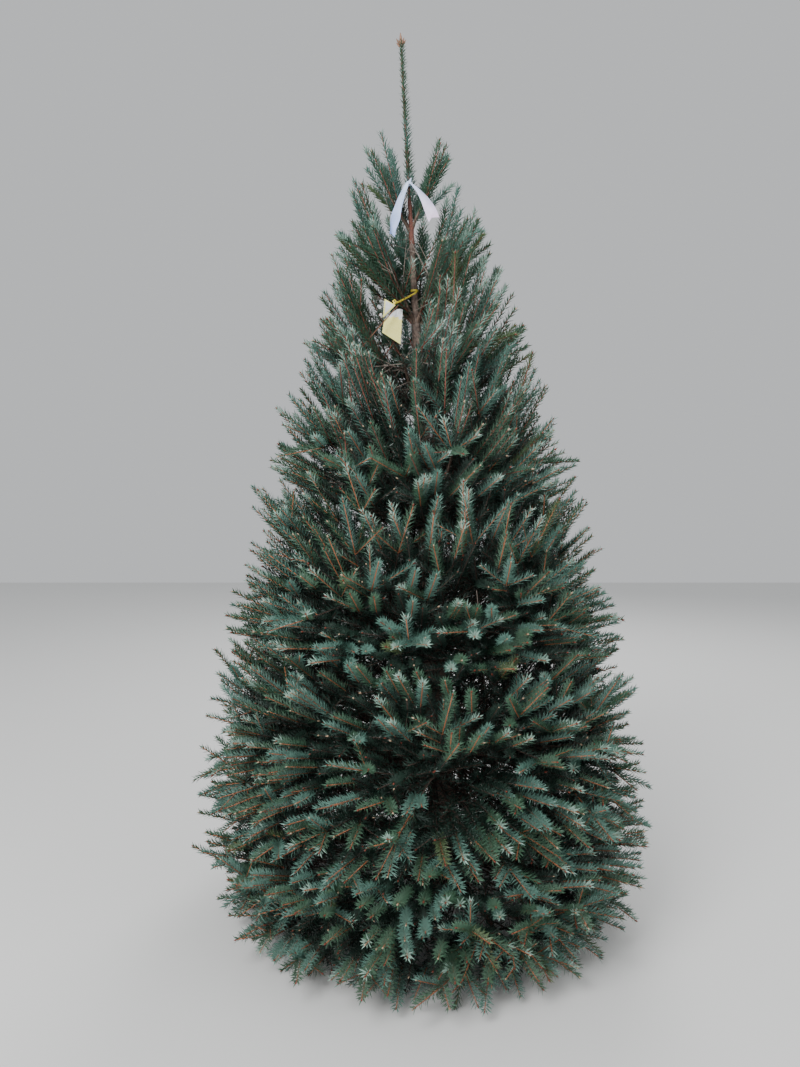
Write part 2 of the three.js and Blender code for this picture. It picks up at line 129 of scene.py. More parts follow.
def trunkRadius(height):
    if height >= tree["leaderFoot"]:
        share = min((height - tree["leaderFoot"]) / (tree["trunkTop"] - tree["leaderFoot"]), 1)
        return tree["leaderRadius"] + (tree["leaderTipRadius"] - tree["leaderRadius"]) * share
    taper = tree["footRadius"] * (1 - height / tree["height"]) ** tree["taperPower"]
    return taper + tree["flareSpread"] * math.exp(-height / tree["flareHeight"])


def crownReach(height, turn):
    share = (height - crown["widestHeight"]) / (crown["top"] - crown["widestHeight"])
    belowShare = max((crown["widestHeight"] - height) / crown["widestHeight"], 0)
    if share > 0:
        fullness = 1 - min(share, 1) ** crown["outlinePower"]
    else:
        fullness = 1 - crown["hemTuck"] * belowShare ** 2
    shift = crown["shift"] * max(1 - height / crown["shiftEnds"], 0)
    return crown["radius"] * fullness + shift * math.cos(turn)


def limbSlope(height):
    return crown["lowSlope"] + crown["slopeGain"] * height


# Height at which the limb line through a point leaves the trunk
def lineHeight(reach, height):
    return (height - crown["lowSlope"] * reach) / (1 + crown["slopeGain"] * reach)


def limbReach(height, turn):
    near = 0
    far = crown["radius"] + abs(crown["shift"])
    for step in range(30):
        middle = (near + far) / 2
        if middle < crownReach(height + middle * limbSlope(height), turn):
            near = middle
        else:
            far = middle
    return near


def outwards(turn):
    return Vector((math.cos(turn), math.sin(turn), 0))


def aroundTrunk(height, turn, reach):
    place = trunkAxis(height)
    place.x += reach * math.cos(turn)
    place.y += reach * math.sin(turn)
    return place


def limbPoint(limb, reach):
    sag = crown["limbSag"] * limb["reach"] * math.sin(math.pi * reach / limb["reach"])
    return aroundTrunk(limb["height"] + reach * limbSlope(limb["height"]) - sag, limb["turn"], reach)


def outlinePoint(height, turn, outline):
    reach = limbReach(height, turn) * outline
    return aroundTrunk(height + reach * limbSlope(height), turn, reach)


# Limbs of all whorls; the top whorl has none in front, where the ribbon hangs
def makeLimbs():
    limbs = []
    heights = crown["whorlHeights"]
    halfTurn = math.pi / crown["limbsPerWhorl"]
    lowest = lineHeight(crown["radius"], crown["groundClear"])
    for whorl, height in enumerate(heights):
        below = (heights[whorl - 1] + height) / 2 if whorl else lowest
        above = (heights[whorl + 1] + height) / 2 if whorl < lastWhorl else crown["topWedgeHeight"]
        for place in range(crown["limbsPerWhorl"]):
            middleTurn = crown["firstTurn"] + whorl * crown["whorlTurn"] + 2 * halfTurn * place
            if whorl == lastWhorl and math.sin(middleTurn) < -math.cos(halfTurn / 2):
                continue
            turn = middleTurn + vary(-crown["turnJitter"], crown["turnJitter"], whorl, place, 1)
            start = height + vary(-crown["heightJitter"], crown["heightJitter"], whorl, place, 2)
            limbs.append({
                "whorl": whorl,
                "place": place,
                "name": f"{whorl + 1}_{place + 1}",
                "height": start,
                "turn": turn,
                "reach": limbReach(start, turn) * vary(*crown["reaches"], whorl, place, 3),
                "middleTurn": middleTurn,
                "halfTurn": halfTurn,
                "below": below,
                "above": above,
                "hasBough": whorl < crown["boughWhorls"],
            })
    return limbs


# A limb is a bough as far as boughEnd, then a stem as far as stemEnd
def boughEnd(limb):
    return crown["boughShare"] * limb["reach"] if limb["hasBough"] else 0


def stemEnd(limb):
    start = boughEnd(limb)
    return start + (limb["reach"] - start) * crown["stemShare"]


def boughRadius(limb, reach):
    base = crown["boughThickness"] * trunkRadius(limb["height"])
    return base * (1 - crown["boughTaper"] * reach / (crown["boughShare"] * limb["reach"]))


def stemRadius(limb, reach):
    start = boughEnd(limb)
    if reach < start:
        return boughRadius(limb, reach)
    thick = boughRadius(limb, start)
    return thick + (crown["stemTipRadius"] - thick) * min((reach - start) / (stemEnd(limb) - start), 1)


# Ribbon and tag: places that foliage keeps out of
ribbon = {
    "height": 1.871,
    "front": -0.017,
    "leftTail": {"reach": -0.050, "height": 1.732, "front": -0.046},
    "rightTail": {"reach": 0.056, "height": 1.764, "front": -0.066},
}
tag = {
    "strapHeight": 1.606,
    "hook": {"reach": -0.054, "height": 1.561, "front": -0.062},
    "foot": (-0.007, 0, -0.088),
}


def placeBeside(reach, height, front):
    return Vector((trunkAxis(height).x + reach, front, height))


ribbonKnot = placeBeside(0, ribbon["height"], ribbon["front"])
leftTailEnd = placeBeside(*ribbon["leftTail"].values())
rightTailEnd = placeBeside(*ribbon["rightTail"].values())
tagTop = placeBeside(*tag["hook"].values())
tagEnd = tagTop + Vector(tag["foot"])
strapMiddle = placeBeside(0, tag["strapHeight"], 0)
knotTop = ribbonKnot + Vector((0, 0, 0.03))

# Bars, from one place to another with a radius, that shoots stay out of: a window on the ribbon and the tag
keptClear = {
    "bars": [
        (knotTop, leftTailEnd, 0.034),
        (knotTop, rightTailEnd, 0.040),
        (tagTop, tagEnd, 0.047),
        (strapMiddle, tagTop, 0.030),
        (rightTailEnd, placeBeside(0.066, 1.742, -0.066), 0.036),
        (ribbonKnot, placeBeside(0.003, 1.74, -0.055), 0.027),
        (placeBeside(0, 1.595, -0.03), placeBeside(0, 1.51, -0.03), 0.028),
    ],
    "openTowards": Vector((0, -1, -0.24)).normalized(),
    "openShare": 0.92,
    "behindShare": 0.4,
}


# A bar reaches further towards the front, and less far behind
def distanceToBar(point, start, end):
    run = end - start
    share = max(0, min(1, (point - start).dot(run) / run.length_squared))
    offset = point - start - run * share
    ahead = offset.dot(keptClear["openTowards"])
    if ahead < 0:
        return offset.length / keptClear["behindShare"]
    return (offset - keptClear["openTowards"] * ahead * keptClear["openShare"]).length


def isClear(point):
    return all(distanceToBar(point, start, end) > radius for start, end, radius in keptClear["bars"])


# True where a point lies in a limb's own wedge of the crown, give or take a slack, and clear of the rest
def isInside(limb, point, outline, slack):
    offset = point.x - tree["lean"] * point.z
    reach = math.hypot(offset, point.y)
    turn = math.atan2(point.y, offset)
    gap = abs((turn - limb["middleTurn"] + math.pi) % (2 * math.pi) - math.pi)
    line = lineHeight(reach, point.z)
    lift = 1 + crown["slopeGain"] * reach
    if point.z < crown["groundClear"] or reach < trunkRadius(max(point.z, 0)) + crown["trunkClear"]:
        return False
    if reach > crownReach(point.z, turn) * outline:
        return False
    if gap > limb["halfTurn"] and reach * math.sin(gap - limb["halfTurn"]) > slack:
        return False
    if limb["whorl"] and (limb["below"] - line) * lift > slack:
        return False
    if (line - limb["above"]) * lift > slack:
        return False
    return isClear(point)


def branchDirection(parent, roll, spread):
    level = parent.cross(up).normalized()
    side = Quaternion(parent, roll) @ level
    return (parent * math.cos(spread) + side * math.sin(spread)).normalized()


# How shoots grow, year by year; a value by height is a row of heights and a row of values
growth = {
    "annualLow": 0.078,
    "annualGain": 0.045,
    "annualMost": 0.165,
    "annualSpread": (0.85, 1.15),
    "annualLoss": 0.1,
    "clearShares": (0.4, 0.55, 0.7, 0.85, 1),
    "yearsWithNeedles": 3,
    "shortestShare": 0.12,
    "radiusGain": 0.0040,
    "tipRadius": 0.0012,
    "deepest": 2,
    "spread": 0.95,
    "childSpread": (0.82, 1.15),
    "childShare": 0.78,
    "childGain": 0.42,
    "childLengths": (0.75, 1.1),
    "childCount": {1: 3, 2: 2},
    "childTurns": (0, 1, 0.5),
    "childRoll": 0.35,
    "childFrom": 0.1,
    "shortStep": 0.10,
    "shortSteps": (0.8, 1.25),
    "shortFrom": 1.25,
    "shortTo": 3.2,
    "shortEnd": 0.94,
    "shortRoll": 0.7,
    "shortSpread": (0.9, 1.25),
    "shortLengths": (0.35, 0.62),
    "shortRadius": 0.0016,
    "shortBow": 0.05,
    "shortest": 0.030,
    "slack": 0.07,
    "mostCuts": 6,
    "cutShare": 0.82,
    "beyondBox": 0.004,
    "boxCuts": 8,
    "boxCut": 0.04,
    "bowByHeight": ([0, 0.35, 0.7, 2.0], [-0.10, 0.0, 0.14, 0.33]),
    "bowSpread": (0.5, 1.3),
    "bowAside": 0.32,
    "riseByHeight": ([0, 0.35, 0.7, 2.0], [-0.40, -0.10, 0.20, 0.49]),
    "openFrom": 1.45,
    "openShares": ([1.45, 1.6, 1.9], [1, 0.9, 0.85]),
    "openChildren": 0.6,
}
twigLength = namedtuple("twigLength", "near far nearRadius farRadius year whorl place tone")
twigTip = namedtuple("twigTip", "place heading tone")
segments = []
tips = []


def middleOf(twig):
    return (twig.near + twig.far) / 2


def annualGrowth(height):
    return min(growth["annualLow"] + growth["annualGain"] * height, growth["annualMost"])


# A twig bows upwards: its place and heading at a share of its length
def alongTwig(start, end, bow, share):
    run = end - start - bow
    return start + run * share + bow * share * share, (run + bow * 2 * share).normalized()


# Shoots turn upwards, more so higher in the crown; the lowest droop
def risen(direction, height):
    return (direction + up * np.interp(height, *growth["riseByHeight"])).normalized()


# Dark gaps between the shoots: five in front, the rest dealt round the crown
hollow = {
    "front": [
        ((-0.022, -0.49, 0.45), 0.082),
        ((-0.156, -0.36, 1.215), 0.038),
        ((-0.008, -0.36, 1.235), 0.036),
        ((-0.109, -0.38, 1.14), 0.032),
        ((0.0, -0.42, 0.97), 0.036),
    ],
    "others": 34,
    "sizes": (0.030, 0.055),
    "heights": (0.2, 1.45),
    "outline": 0.92,
    "shares": (0.7, 0.85, 1),
}


def makeHollows():
    gaps = [(Vector(place), size) for place, size in hollow["front"]]
    for index in range(hollow["others"]):
        height = vary(*hollow["heights"], 93, index, 1)
        turn = index * goldenTurn
        place = trunkAxis(height) + outwards(turn) * (crownReach(height, turn) * hollow["outline"])
        gaps.append((place, vary(*hollow["sizes"], 93, index, 2)))
    return gaps


hollows = makeHollows()


# True where a twig keeps out of the window on the ribbon and the tag
def isWayClear(start, end):
    return all(isClear(start.lerp(end, share)) for share in growth["clearShares"])


def isHollow(point):
    return any((point - place).length < size for place, size in hollows)


# One twig cut into the lengths that grew each year, youngest at the tip
def addTwig(limb, start, end, bow, annual, radius, keys):
    length = (end - start).length
    tone = chance(*keys, 21)
    tip = growth["tipRadius"]
    far = 1.0
    year = 0
    while far > 0:
        near = max(1 - (year + 1) * annual / length, 0)
        if near < growth["shortestShare"] or year > growth["yearsWithNeedles"]:
            near = 0
        ends = [alongTwig(start, end, bow, share)[0] for share in (near, far)]
        radii = [tip + (radius - tip) * (1 - share) for share in (near, far)]
        segments.append(twigLength(*ends, *radii, year, limb["whorl"], limb["place"], tone))
        far = near
        year += 1
    tips.append(twigTip(end, (end - start).normalized(), tone))


# Tip of a side shoot, cut shorter until it lies inside the crown, or None
def sideTip(limb, point, heading, roll, spread, length, outline):
    direction = risen(branchDirection(heading, roll, spread), point.z)
    for cut in range(growth["mostCuts"]):
        tip = point + direction * length
        if isInside(limb, tip, outline, growth["slack"]):
            return tip
        length *= growth["cutShare"]
        if length < growth["shortest"]:
            break
    return None


# A tip drawn back along its twig until it lies in the solids' box
def keptInBox(start, end):
    for cut in range(growth["boxCuts"]):
        tip = start.lerp(end, 1 - growth["boxCut"] * cut)
        outside = max(max(low - value, value - high) for value, low, high in zip(tip, *cadBox))
        if outside < growth["beyondBox"]:
            break
    return tip


def growTwig(limb, start, end, depth, outline, keys):
    end = keptInBox(start, end)
    length = (end - start).length
    if not isWayClear(start, end) or any(isHollow(start.lerp(end, share)) for share in hollow["shares"]):
        return
    annual = annualGrowth(end.z) * vary(*growth["annualSpread"], *keys, 11)
    annual *= 1 - growth["annualLoss"] * (depth - 1)
    bow = up * length * np.interp(end.z, *growth["bowByHeight"]) * vary(*growth["bowSpread"], *keys, 12)
    bow += (end - start).cross(up) * vary(-growth["bowAside"], growth["bowAside"], *keys, 27)
    radius = growth["tipRadius"] + growth["radiusGain"] * length / (1 + depth)
    addTwig(limb, start, end, bow, annual, radius, keys)
    if depth > growth["deepest"]:
        return
    for year in range(1, min(int(length / annual), growth["yearsWithNeedles"]) + 1):
        share = 1 - year * annual / length
        if share < growth["childFrom"]:
            break
        point, heading = alongTwig(start, end, bow, share)
        count = growth["childCount"][depth]
        if end.z > growth["openFrom"]:
            count = int(chance(*keys, year, 24) < growth["openChildren"])
        firstRoll = vary(-growth["childRoll"], growth["childRoll"], *keys, year, 13) + (year % 2) * math.pi
        for child in range(count):
            childKeys = (*keys, year, child)
            roll = firstRoll + growth["childTurns"][child] * math.pi
            spread = growth["spread"] * vary(*growth["childSpread"], *childKeys, 14)
            wanted = annual * (growth["childShare"] + growth["childGain"] * (year - 1))
            wanted *= vary(*growth["childLengths"], *childKeys, 15)
            tip = sideTip(limb, point, heading, roll, spread, wanted, outline)
            if tip:
                growTwig(limb, point, tip, depth + 1, outline, childKeys)
    growShortShoots(limb, start, end, bow, annual, outline, keys)


# Short shoots between the yearly nodes of an older twig
def growShortShoots(limb, start, end, bow, annual, outline, keys):
    length = (end - start).length
    reach = annual * growth["shortFrom"]
    index = 0
    while reach < min(length * growth["shortEnd"], annual * growth["shortTo"]):
        point, heading = alongTwig(start, end, bow, 1 - reach / length)
        shortKeys = (*keys, 31, index)
        roll = math.pi * index + vary(-growth["shortRoll"], growth["shortRoll"], *shortKeys, 16)
        spread = growth["spread"] * vary(*growth["shortSpread"], *shortKeys, 17)
        wanted = annual * vary(*growth["shortLengths"], *shortKeys, 18)
        tip = sideTip(limb, point, heading, roll, spread, wanted, outline)
        if tip and isClear(point.lerp(tip, 0.5)):
            shortBow = up * wanted * growth["shortBow"]
            addTwig(limb, point, tip, shortBow, annual, growth["shortRadius"], shortKeys)
        reach += growth["shortStep"] * vary(*growth["shortSteps"], *shortKeys, 19)
        index += 1


# The source's targets on the crown's outline, and finer rows between them
def twigTargets(limb, spacingShare, edgeShare, keyShift):
    spacing = (crown["tipSpacing"] + crown["tipSpacingGain"] * limb["reach"]) * spacingShare
    edge = (crown["tipEdge"] + crown["tipEdgeGain"] * limb["reach"]) * edgeShare
    lift = 1 + crown["slopeGain"] * limb["reach"]
    tall = (limb["above"] - limb["below"]) * lift
    rows = max(math.floor(tall / spacing + 0.5), 2)
    columns = max(math.floor(2 * limb["halfTurn"] * limb["reach"] / spacing + 0.5), 2)
    halfWidth = limb["halfTurn"] - edge / limb["reach"]
    jitter = crown["targetJitter"]
    for row in range(rows):
        staggered = row % 2
        for column in range(columns - staggered):
            keys = (limb["whorl"], limb["place"], row + keyShift, column)
            rowShare = (row + vary(-jitter, jitter, *keys, 4)) / (rows - 1)
            columnShare = (column + staggered / 2 + vary(-jitter, jitter, *keys, 5)) / (columns - 1)
            height = limb["below"] + (edge + (tall - 2 * edge) * rowShare) / lift
            turn = limb["middleTurn"] + halfWidth * (2 * columnShare - 1)
            border = max(abs(2 * rowShare - 1), abs(2 * columnShare - 1))
            outline = vary(*crown["outlines"], *keys, 6)
            yield outlinePoint(height, turn, outline), outline, keys, border


# Further shoots: finer rows of targets on the outline, and shoots from the trunk that fill the inside
extra = {
    "spacing": 0.8,
    "edge": -0.1,
    "outlines": (0.78, 1.0),
    "middleShare": 0.3,
    "spread": 0.50,
    "rootFrom": 0.02,
    "trunkFrom": 0.16,
    "trunkTo": 1.7,
    "trunkStep": 0.026,
    "trunkSteps": (0.6, 1.4),
    "trunkRise": 0.15,
    "trunkReaches": (0.38, 0.72),
    "endOutline": 1.03,
    "outlineSlack": 1.02,
    "rootGap": 0.006,
}


# Reach at which a shoot to a point leaves its limb
def branchReach(limb, point, start, end, spread):
    reach = math.hypot(point.x - tree["lean"] * point.z, point.y)
    aside = (limbPoint(limb, min(reach, limb["reach"])) - point).length
    return max(start, min(end, reach - aside / math.tan(spread)))


def growFineTwig(limb, point, depth, outline, keys):
    root = limbPoint(limb, branchReach(limb, point, extra["rootFrom"], stemEnd(limb), extra["spread"]))
    if (point - root).length > growth["shortest"]:
        growTwig(limb, root, point, depth, outline, keys)


def growLimb(limb):
    end = stemEnd(limb)
    tip = limbPoint(limb, limb["reach"])
    growTwig(limb, limbPoint(limb, end), tip, 1, extra["endOutline"], (limb["whorl"], limb["place"], 99, 0))
    for point, outline, keys, border in twigTargets(limb, 1, 1, 0):
        if chance(*keys, 25) > np.interp(point.z, *growth["openShares"]):
            continue
        isApart = (point - tip).length > crown["tipClear"]
        if isApart and isInside(limb, point, outline * extra["outlineSlack"], 0):
            start = boughEnd(limb) + extra["rootGap"]
            root = limbPoint(limb, branchReach(limb, point, start, end, crown["twigSpread"]))
            growTwig(limb, root, point, 1, outline, keys)
    for point, outline, keys, border in twigTargets(limb, extra["spacing"], extra["edge"], 40):
        if point.z > growth["openFrom"] or chance(*keys, 23) > extra["middleShare"] + border ** 2:
            continue
        drawnIn = vary(*extra["outlines"], *keys, 22)
        outline *= drawnIn
        point = trunkAxis(point.z).lerp(point, drawnIn)
        if isInside(limb, point, outline * extra["outlineSlack"], growth["slack"]):
            growFineTwig(limb, point, 2, outline, keys)


def growTrunkShoots():
    height = extra["trunkFrom"]
    index = 0
    while height < extra["trunkTo"]:
        keys = (77, index)
        turn = index * goldenTurn
        reach = limbReach(height, turn) * vary(*extra["trunkReaches"], *keys, 1)
        tip = trunkAxis(height + (limbSlope(height) + extra["trunkRise"]) * reach) + outwards(turn) * reach
        for limb in limbs:
            if isInside(limb, tip, 1, 0):
                growTwig(limb, trunkAxis(height), tip, 2, 1, keys)
        height += extra["trunkStep"] * vary(*extra["trunkSteps"], *keys, 2)
        index += 1


# The crown's outer shell as a grid of cells: each pass adds shoots where it is thin.
# A pass has its key, the depth of its shoots, metres wanted on a square metre, and metres for a shoot.
shell = {
    "turns": 32,
    "heights": 30,
    "depth": 0.14,
    "coverByHeight": ([1.0, 1.3, 1.5, 1.8, 2.0], [1.2, 1.1, 0.75, 0.5, 0.3]),
    "endOnCover": 0.3,
    "outlines": (0.83, 1.0),
    "slack": 0.004,
    "lowest": 0.02,
    "passes": [(61, 2, 30, 0.35), (62, 3, 42, 0.15), (63, 3, 42, 0.15), (64, 3, 42, 0.15), (65, 3, 42, 0.12)],
    "innerDepth": 0.11,
}


# Column, row and depth in the crown of a place
def shellCell(place):
    offset = place.x - tree["lean"] * place.z
    turn = math.atan2(place.y, offset)
    column = math.floor(turn / (2 * math.pi) * shell["turns"]) % shell["turns"]
    row = min(int(place.z / crown["top"] * shell["heights"]), shell["heights"] - 1)
    return column, row, crownReach(place.z, turn) - math.hypot(offset, place.y)


def shellPlace(column, row):
    return row / shell["heights"] * crown["top"], column / shell["turns"] * 2 * math.pi


def cellArea(column, row):
    height, turn = shellPlace(column + 0.5, row + 0.5)
    around = 2 * math.pi * max(crownReach(height, turn), 0.02) / shell["turns"]
    return around * crown["top"] / shell["heights"]


# Inside the crown, where little light falls
def isInner(twig):
    return twig.far.z < growth["openFrom"] and shellCell(middleOf(twig))[2] > shell["innerDepth"]


# Metres of needled shoot in each cell of the outer shell; shoots that point outwards cover less
def measureCover():
    cover = np.zeros((shell["turns"], shell["heights"]))
    for twig in segments:
        middle = middleOf(twig)
        column, row, depth = shellCell(middle)
        if twig.year < growth["yearsWithNeedles"] and depth < shell["depth"]:
            outward = Vector((middle.x - tree["lean"] * middle.z, middle.y, 0)).normalized()
            along = abs((twig.far - twig.near).normalized().dot(outward))
            seen = shell["endOnCover"] + (1 - shell["endOnCover"]) * math.sqrt(max(1 - along ** 2, 0))
            cover[column, row] += (twig.far - twig.near).length * seen
    return cover


def growToShell(height, turn, outline, depth, keys):
    point = trunkAxis(height) + outwards(turn) * (crownReach(height, turn) * outline)
    for limb in limbs:
        if isInside(limb, point, outline * extra["outlineSlack"], shell["slack"]):
            growFineTwig(limb, point, depth, outline, keys)
            return


# Further shoots from the nearest limb wherever the shell is thin
def fillThinPlaces(passKey, depth, wanted, lengthEach):
    cover = measureCover()
    for column in range(shell["turns"]):
        for row in range(shell["heights"]):
            thinned = np.interp(shellPlace(column, row + 0.5)[0], *shell["coverByHeight"])
            missing = wanted * thinned * cellArea(column, row) - cover[column, row]
            for index in range(int(missing / lengthEach + chance(passKey, column, row))):
                keys = (passKey, column, row, index)
                height, turn = shellPlace(column + chance(*keys, 1), row + chance(*keys, 2))
                outline = vary(*shell["outlines"], *keys, 3)
                growToShell(max(height, shell["lowest"]), turn, outline, depth, keys)


# One bare twig from the left crosses in front of the tag
strayTwig = {"from": (-0.235, -0.085, 1.455), "to": (-0.132, -0.076, 1.554), "radius": 0.0022, "year": 3}


def addStrayTwig():
    root = min(segments, key=lambda twig: (twig.far - Vector(strayTwig["from"])).length)
    ends = {"near": root.far, "far": Vector(strayTwig["to"])}
    radii = {"nearRadius": strayTwig["radius"], "farRadius": growth["tipRadius"]}
    segments.append(root._replace(**ends, **radii, year=strayTwig["year"]))


limbs = makeLimbs()
for limb in limbs:
    growLimb(limb)
growTrunkShoots()
for fillPass in shell["passes"]:
    fillThinPlaces(*fillPass)
addStrayTwig()

totalLength = sum((twig.far - twig.near).length for twig in segments)
needled = sum((twig.far - twig.near).length for twig in segments if twig.year < growth["yearsWithNeedles"])
print(f"grown: {len(limbs)} limbs, {len(segments)} lengths of twig, {len(tips)} tips,"
      f" {totalLength:.0f} m in all, {needled:.0f} m with needles")


# Small helpers for picking, shaping and finishing pieces
def deselectAll():
    if bpy.context.object and bpy.context.object.mode != "OBJECT":
        bpy.ops.object.mode_set(mode="OBJECT")
    bpy.ops.object.select_all(action="DESELECT")


def pick(*pieces):
    deselectAll()
    for piece in pieces:
        piece.select_set(True)
    bpy.context.view_layer.objects.active = pieces[-1]


def applyPlace():
    bpy.ops.object.transform_apply(location=True, rotation=True, scale=True)


def applyModifiers(piece):
    pick(piece)
    for modifier in list(piece.modifiers):
        bpy.ops.object.modifier_apply(modifier=modifier.name)


def addRounding(piece, levels):
    rounding = piece.modifiers.new("rounding", "SUBSURF")
    rounding.levels = rounding.render_levels = levels
    return rounding


def addRelief(piece, name, pattern, size, depth, level=0.5):
    texture = bpy.data.textures.new(name, pattern)
    texture.noise_scale = size
    relief = piece.modifiers.new("relief", "DISPLACE")
    relief.texture = texture
    relief.texture_coords = "LOCAL"
    relief.strength = depth
    relief.mid_level = level


def thicken(piece, thickness):
    wall = piece.modifiers.new("thickness", "SOLIDIFY")
    wall.thickness = thickness
    wall.offset = 0
    applyModifiers(piece)


def addMaterials(piece, *materials):
    for material in materials:
        piece.data.materials.append(material)


def settle(piece, name, *materials):
    pick(piece)
    applyPlace()
    piece.name = piece.data.name = name
    addMaterials(piece, *materials)


def joinParts(parts):
    pick(*parts)
    bpy.ops.object.join()
    return bpy.context.object


# Every piece rides on the tree's one body; one that stands for solids names them
def declare(piece, slot, *nodes):
    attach(piece, "root")
    if nodes:
        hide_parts(*nodes)


# A mesh from a curve of straight runs; each row holds places with their radius
def meshFromCurve(name, rows, **shape):
    curve = bpy.data.curves.new(name, "CURVE")
    curve.dimensions = "3D"
    for field, value in shape.items():
        setattr(curve, field, value)
    for row in rows:
        spline = curve.splines.new("POLY")
        spline.points.add(len(row) - 1)
        for knot, (place, radius) in zip(spline.points, row):
            knot.co = (*place, 1)
            knot.radius = radius
    piece = bpy.data.objects.new(name, curve)
    bpy.context.collection.objects.link(piece)
    pick(piece)
    bpy.ops.object.convert(target="MESH")
    return bpy.context.object


def meshFromArrays(name, points, triangles, tones, materials, smooth=False):
    mesh = bpy.data.meshes.new(name)
    mesh.vertices.add(len(points))
    mesh.vertices.foreach_set("co", np.asarray(points, dtype=np.float32).ravel())
    mesh.loops.add(len(triangles) * 3)
    mesh.loops.foreach_set("vertex_index", np.asarray(triangles, dtype=np.int32).ravel())
    mesh.polygons.add(len(triangles))
    mesh.polygons.foreach_set("loop_start", np.arange(len(triangles), dtype=np.int32) * 3)
    mesh.polygons.foreach_set("material_index", np.asarray(tones, dtype=np.int32))
    mesh.polygons.foreach_set("use_smooth", np.full(len(triangles), smooth))
    mesh.update(calc_edges=True)
    piece = bpy.data.objects.new(name, mesh)
    addMaterials(piece, *materials)
    bpy.context.collection.objects.link(piece)
    return piece


# Colours are given as seen on screen, 0 to 255
def tint(red, green, blue):
    shades = []
    for value in (red / 255, green / 255, blue / 255):
        shades.append(value / 12.92 if value <= 0.04045 else ((value + 0.055) / 1.055) ** 2.4)
    return (*shades, 1)


# Sets a node's inputs, each to a plain value or to a link from another node
def feed(nodeTree, node, inputs):
    for socket, value in inputs.items():
        if isinstance(value, bpy.types.NodeSocket):
            nodeTree.links.new(value, node.inputs[socket])
        else:
            node.inputs[socket].default_value = value


def addNode(nodeTree, kind, inputs, **fields):
    node = nodeTree.nodes.new(f"ShaderNode{kind}")
    for field, value in fields.items():
        setattr(node, field, value)
    feed(nodeTree, node, inputs)
    return node


def objectPlace(nodeTree):
    return addNode(nodeTree, "TexCoord", {}).outputs["Object"]


# A material whose plain values are on its shader's own sockets
def newMaterial(name, values):
    material = bpy.data.materials.new(name)
    material.use_nodes = True
    feedShader(material, values)
    return material


def feedShader(material, inputs):
    feed(material.node_tree, material.node_tree.nodes["Principled BSDF"], inputs)


def newGroup(name, inputs, outputs):
    group = bpy.data.node_groups.new(name, "ShaderNodeTree")
    for side, sockets in (("INPUT", inputs), ("OUTPUT", outputs)):
        for socket, kind in sockets.items():
            group.interface.new_socket(name=socket, in_out=side, socket_type=f"NodeSocket{kind}")
    return group


# Node group: drifts a colour between two shades by soft patches and fine grain
driftPattern = {"patchShare": 0.6, "lightUntil": 0.6, "darkFrom": 1.0}


def makeToneDrift():
    inputs = {"Light": "Color", "Dark": "Color", "Patch Scale": "Float", "Grain Scale": "Float"}
    group = newGroup("toneDrift", inputs, {"Color": "Color"})
    given = group.nodes.new("NodeGroupInput").outputs
    place = objectPlace(group)
    patches = addNode(group, "TexNoise", {"Vector": place, "Scale": given["Patch Scale"]}).outputs["Fac"]
    grain = addNode(group, "TexNoise", {"Vector": place, "Scale": given["Grain Scale"]}).outputs["Fac"]
    sums = {0: patches, 1: driftPattern["patchShare"], 2: grain}
    blend = addNode(group, "Math", sums, operation="MULTIPLY_ADD").outputs[0]
    ends = {"From Min": driftPattern["lightUntil"], "From Max": driftPattern["darkFrom"]}
    spread = addNode(group, "MapRange", {"Value": blend, **ends})
    shades = {"Factor": spread.outputs["Result"], "A": given["Light"], "B": given["Dark"]}
    mix = addNode(group, "Mix", shades, data_type="RGBA")
    feed(group, group.nodes.new("NodeGroupOutput"), {"Color": mix.outputs["Result"]})
    return group


# Node group: height of fine plates, cracks and grain for bark
barkPattern = {"stretch": (1, 1, 0.45), "crackWidth": 0.09, "grainScale": 420, "grainShare": 0.4}


def makeBarkRelief():
    group = newGroup("barkRelief", {"Scale": "Float"}, {"Height": "Float"})
    given = group.nodes.new("NodeGroupInput").outputs
    place = objectPlace(group)
    tall = addNode(group, "Mapping", {"Vector": place, "Scale": barkPattern["stretch"]}).outputs["Vector"]
    cells = {"Vector": tall, "Scale": given["Scale"]}
    edges = addNode(group, "TexVoronoi", cells, feature="DISTANCE_TO_EDGE").outputs["Distance"]
    cracks = addNode(group, "MapRange", {"Value": edges, "From Max": barkPattern["crackWidth"]})
    grain = addNode(group, "TexNoise", {"Vector": place, "Scale": barkPattern["grainScale"]})
    sums = {0: grain.outputs["Fac"], 1: barkPattern["grainShare"], 2: cracks.outputs["Result"]}
    total = addNode(group, "Math", sums, operation="MULTIPLY_ADD")
    feed(group, group.nodes.new("NodeGroupOutput"), {"Height": total.outputs[0]})
    return group


toneDrift = makeToneDrift()
barkRelief = makeBarkRelief()


# A finish with drifting colour; bark finishes add plates and relief
def makeFinish(name, light, dark, roughness, patchScale, grainScale, plateScale=0, relief=0):
    material = newMaterial(name, {"Roughness": roughness})
    shades = {"Light": tint(*light), "Dark": tint(*dark)}
    scales = {"Patch Scale": patchScale, "Grain Scale": grainScale}
    drift = addNode(material.node_tree, "Group", {**shades, **scales}, node_tree=toneDrift)
    feedShader(material, {"Base Color": drift.outputs["Color"]})
    if plateScale:
        plates = addNode(material.node_tree, "Group", {"Scale": plateScale}, node_tree=barkRelief)
        heights = {"Height": plates.outputs["Height"], "Distance": relief}
        feedShader(material, {"Normal": addNode(material.node_tree, "Bump", heights).outputs["Normal"]})
    return material


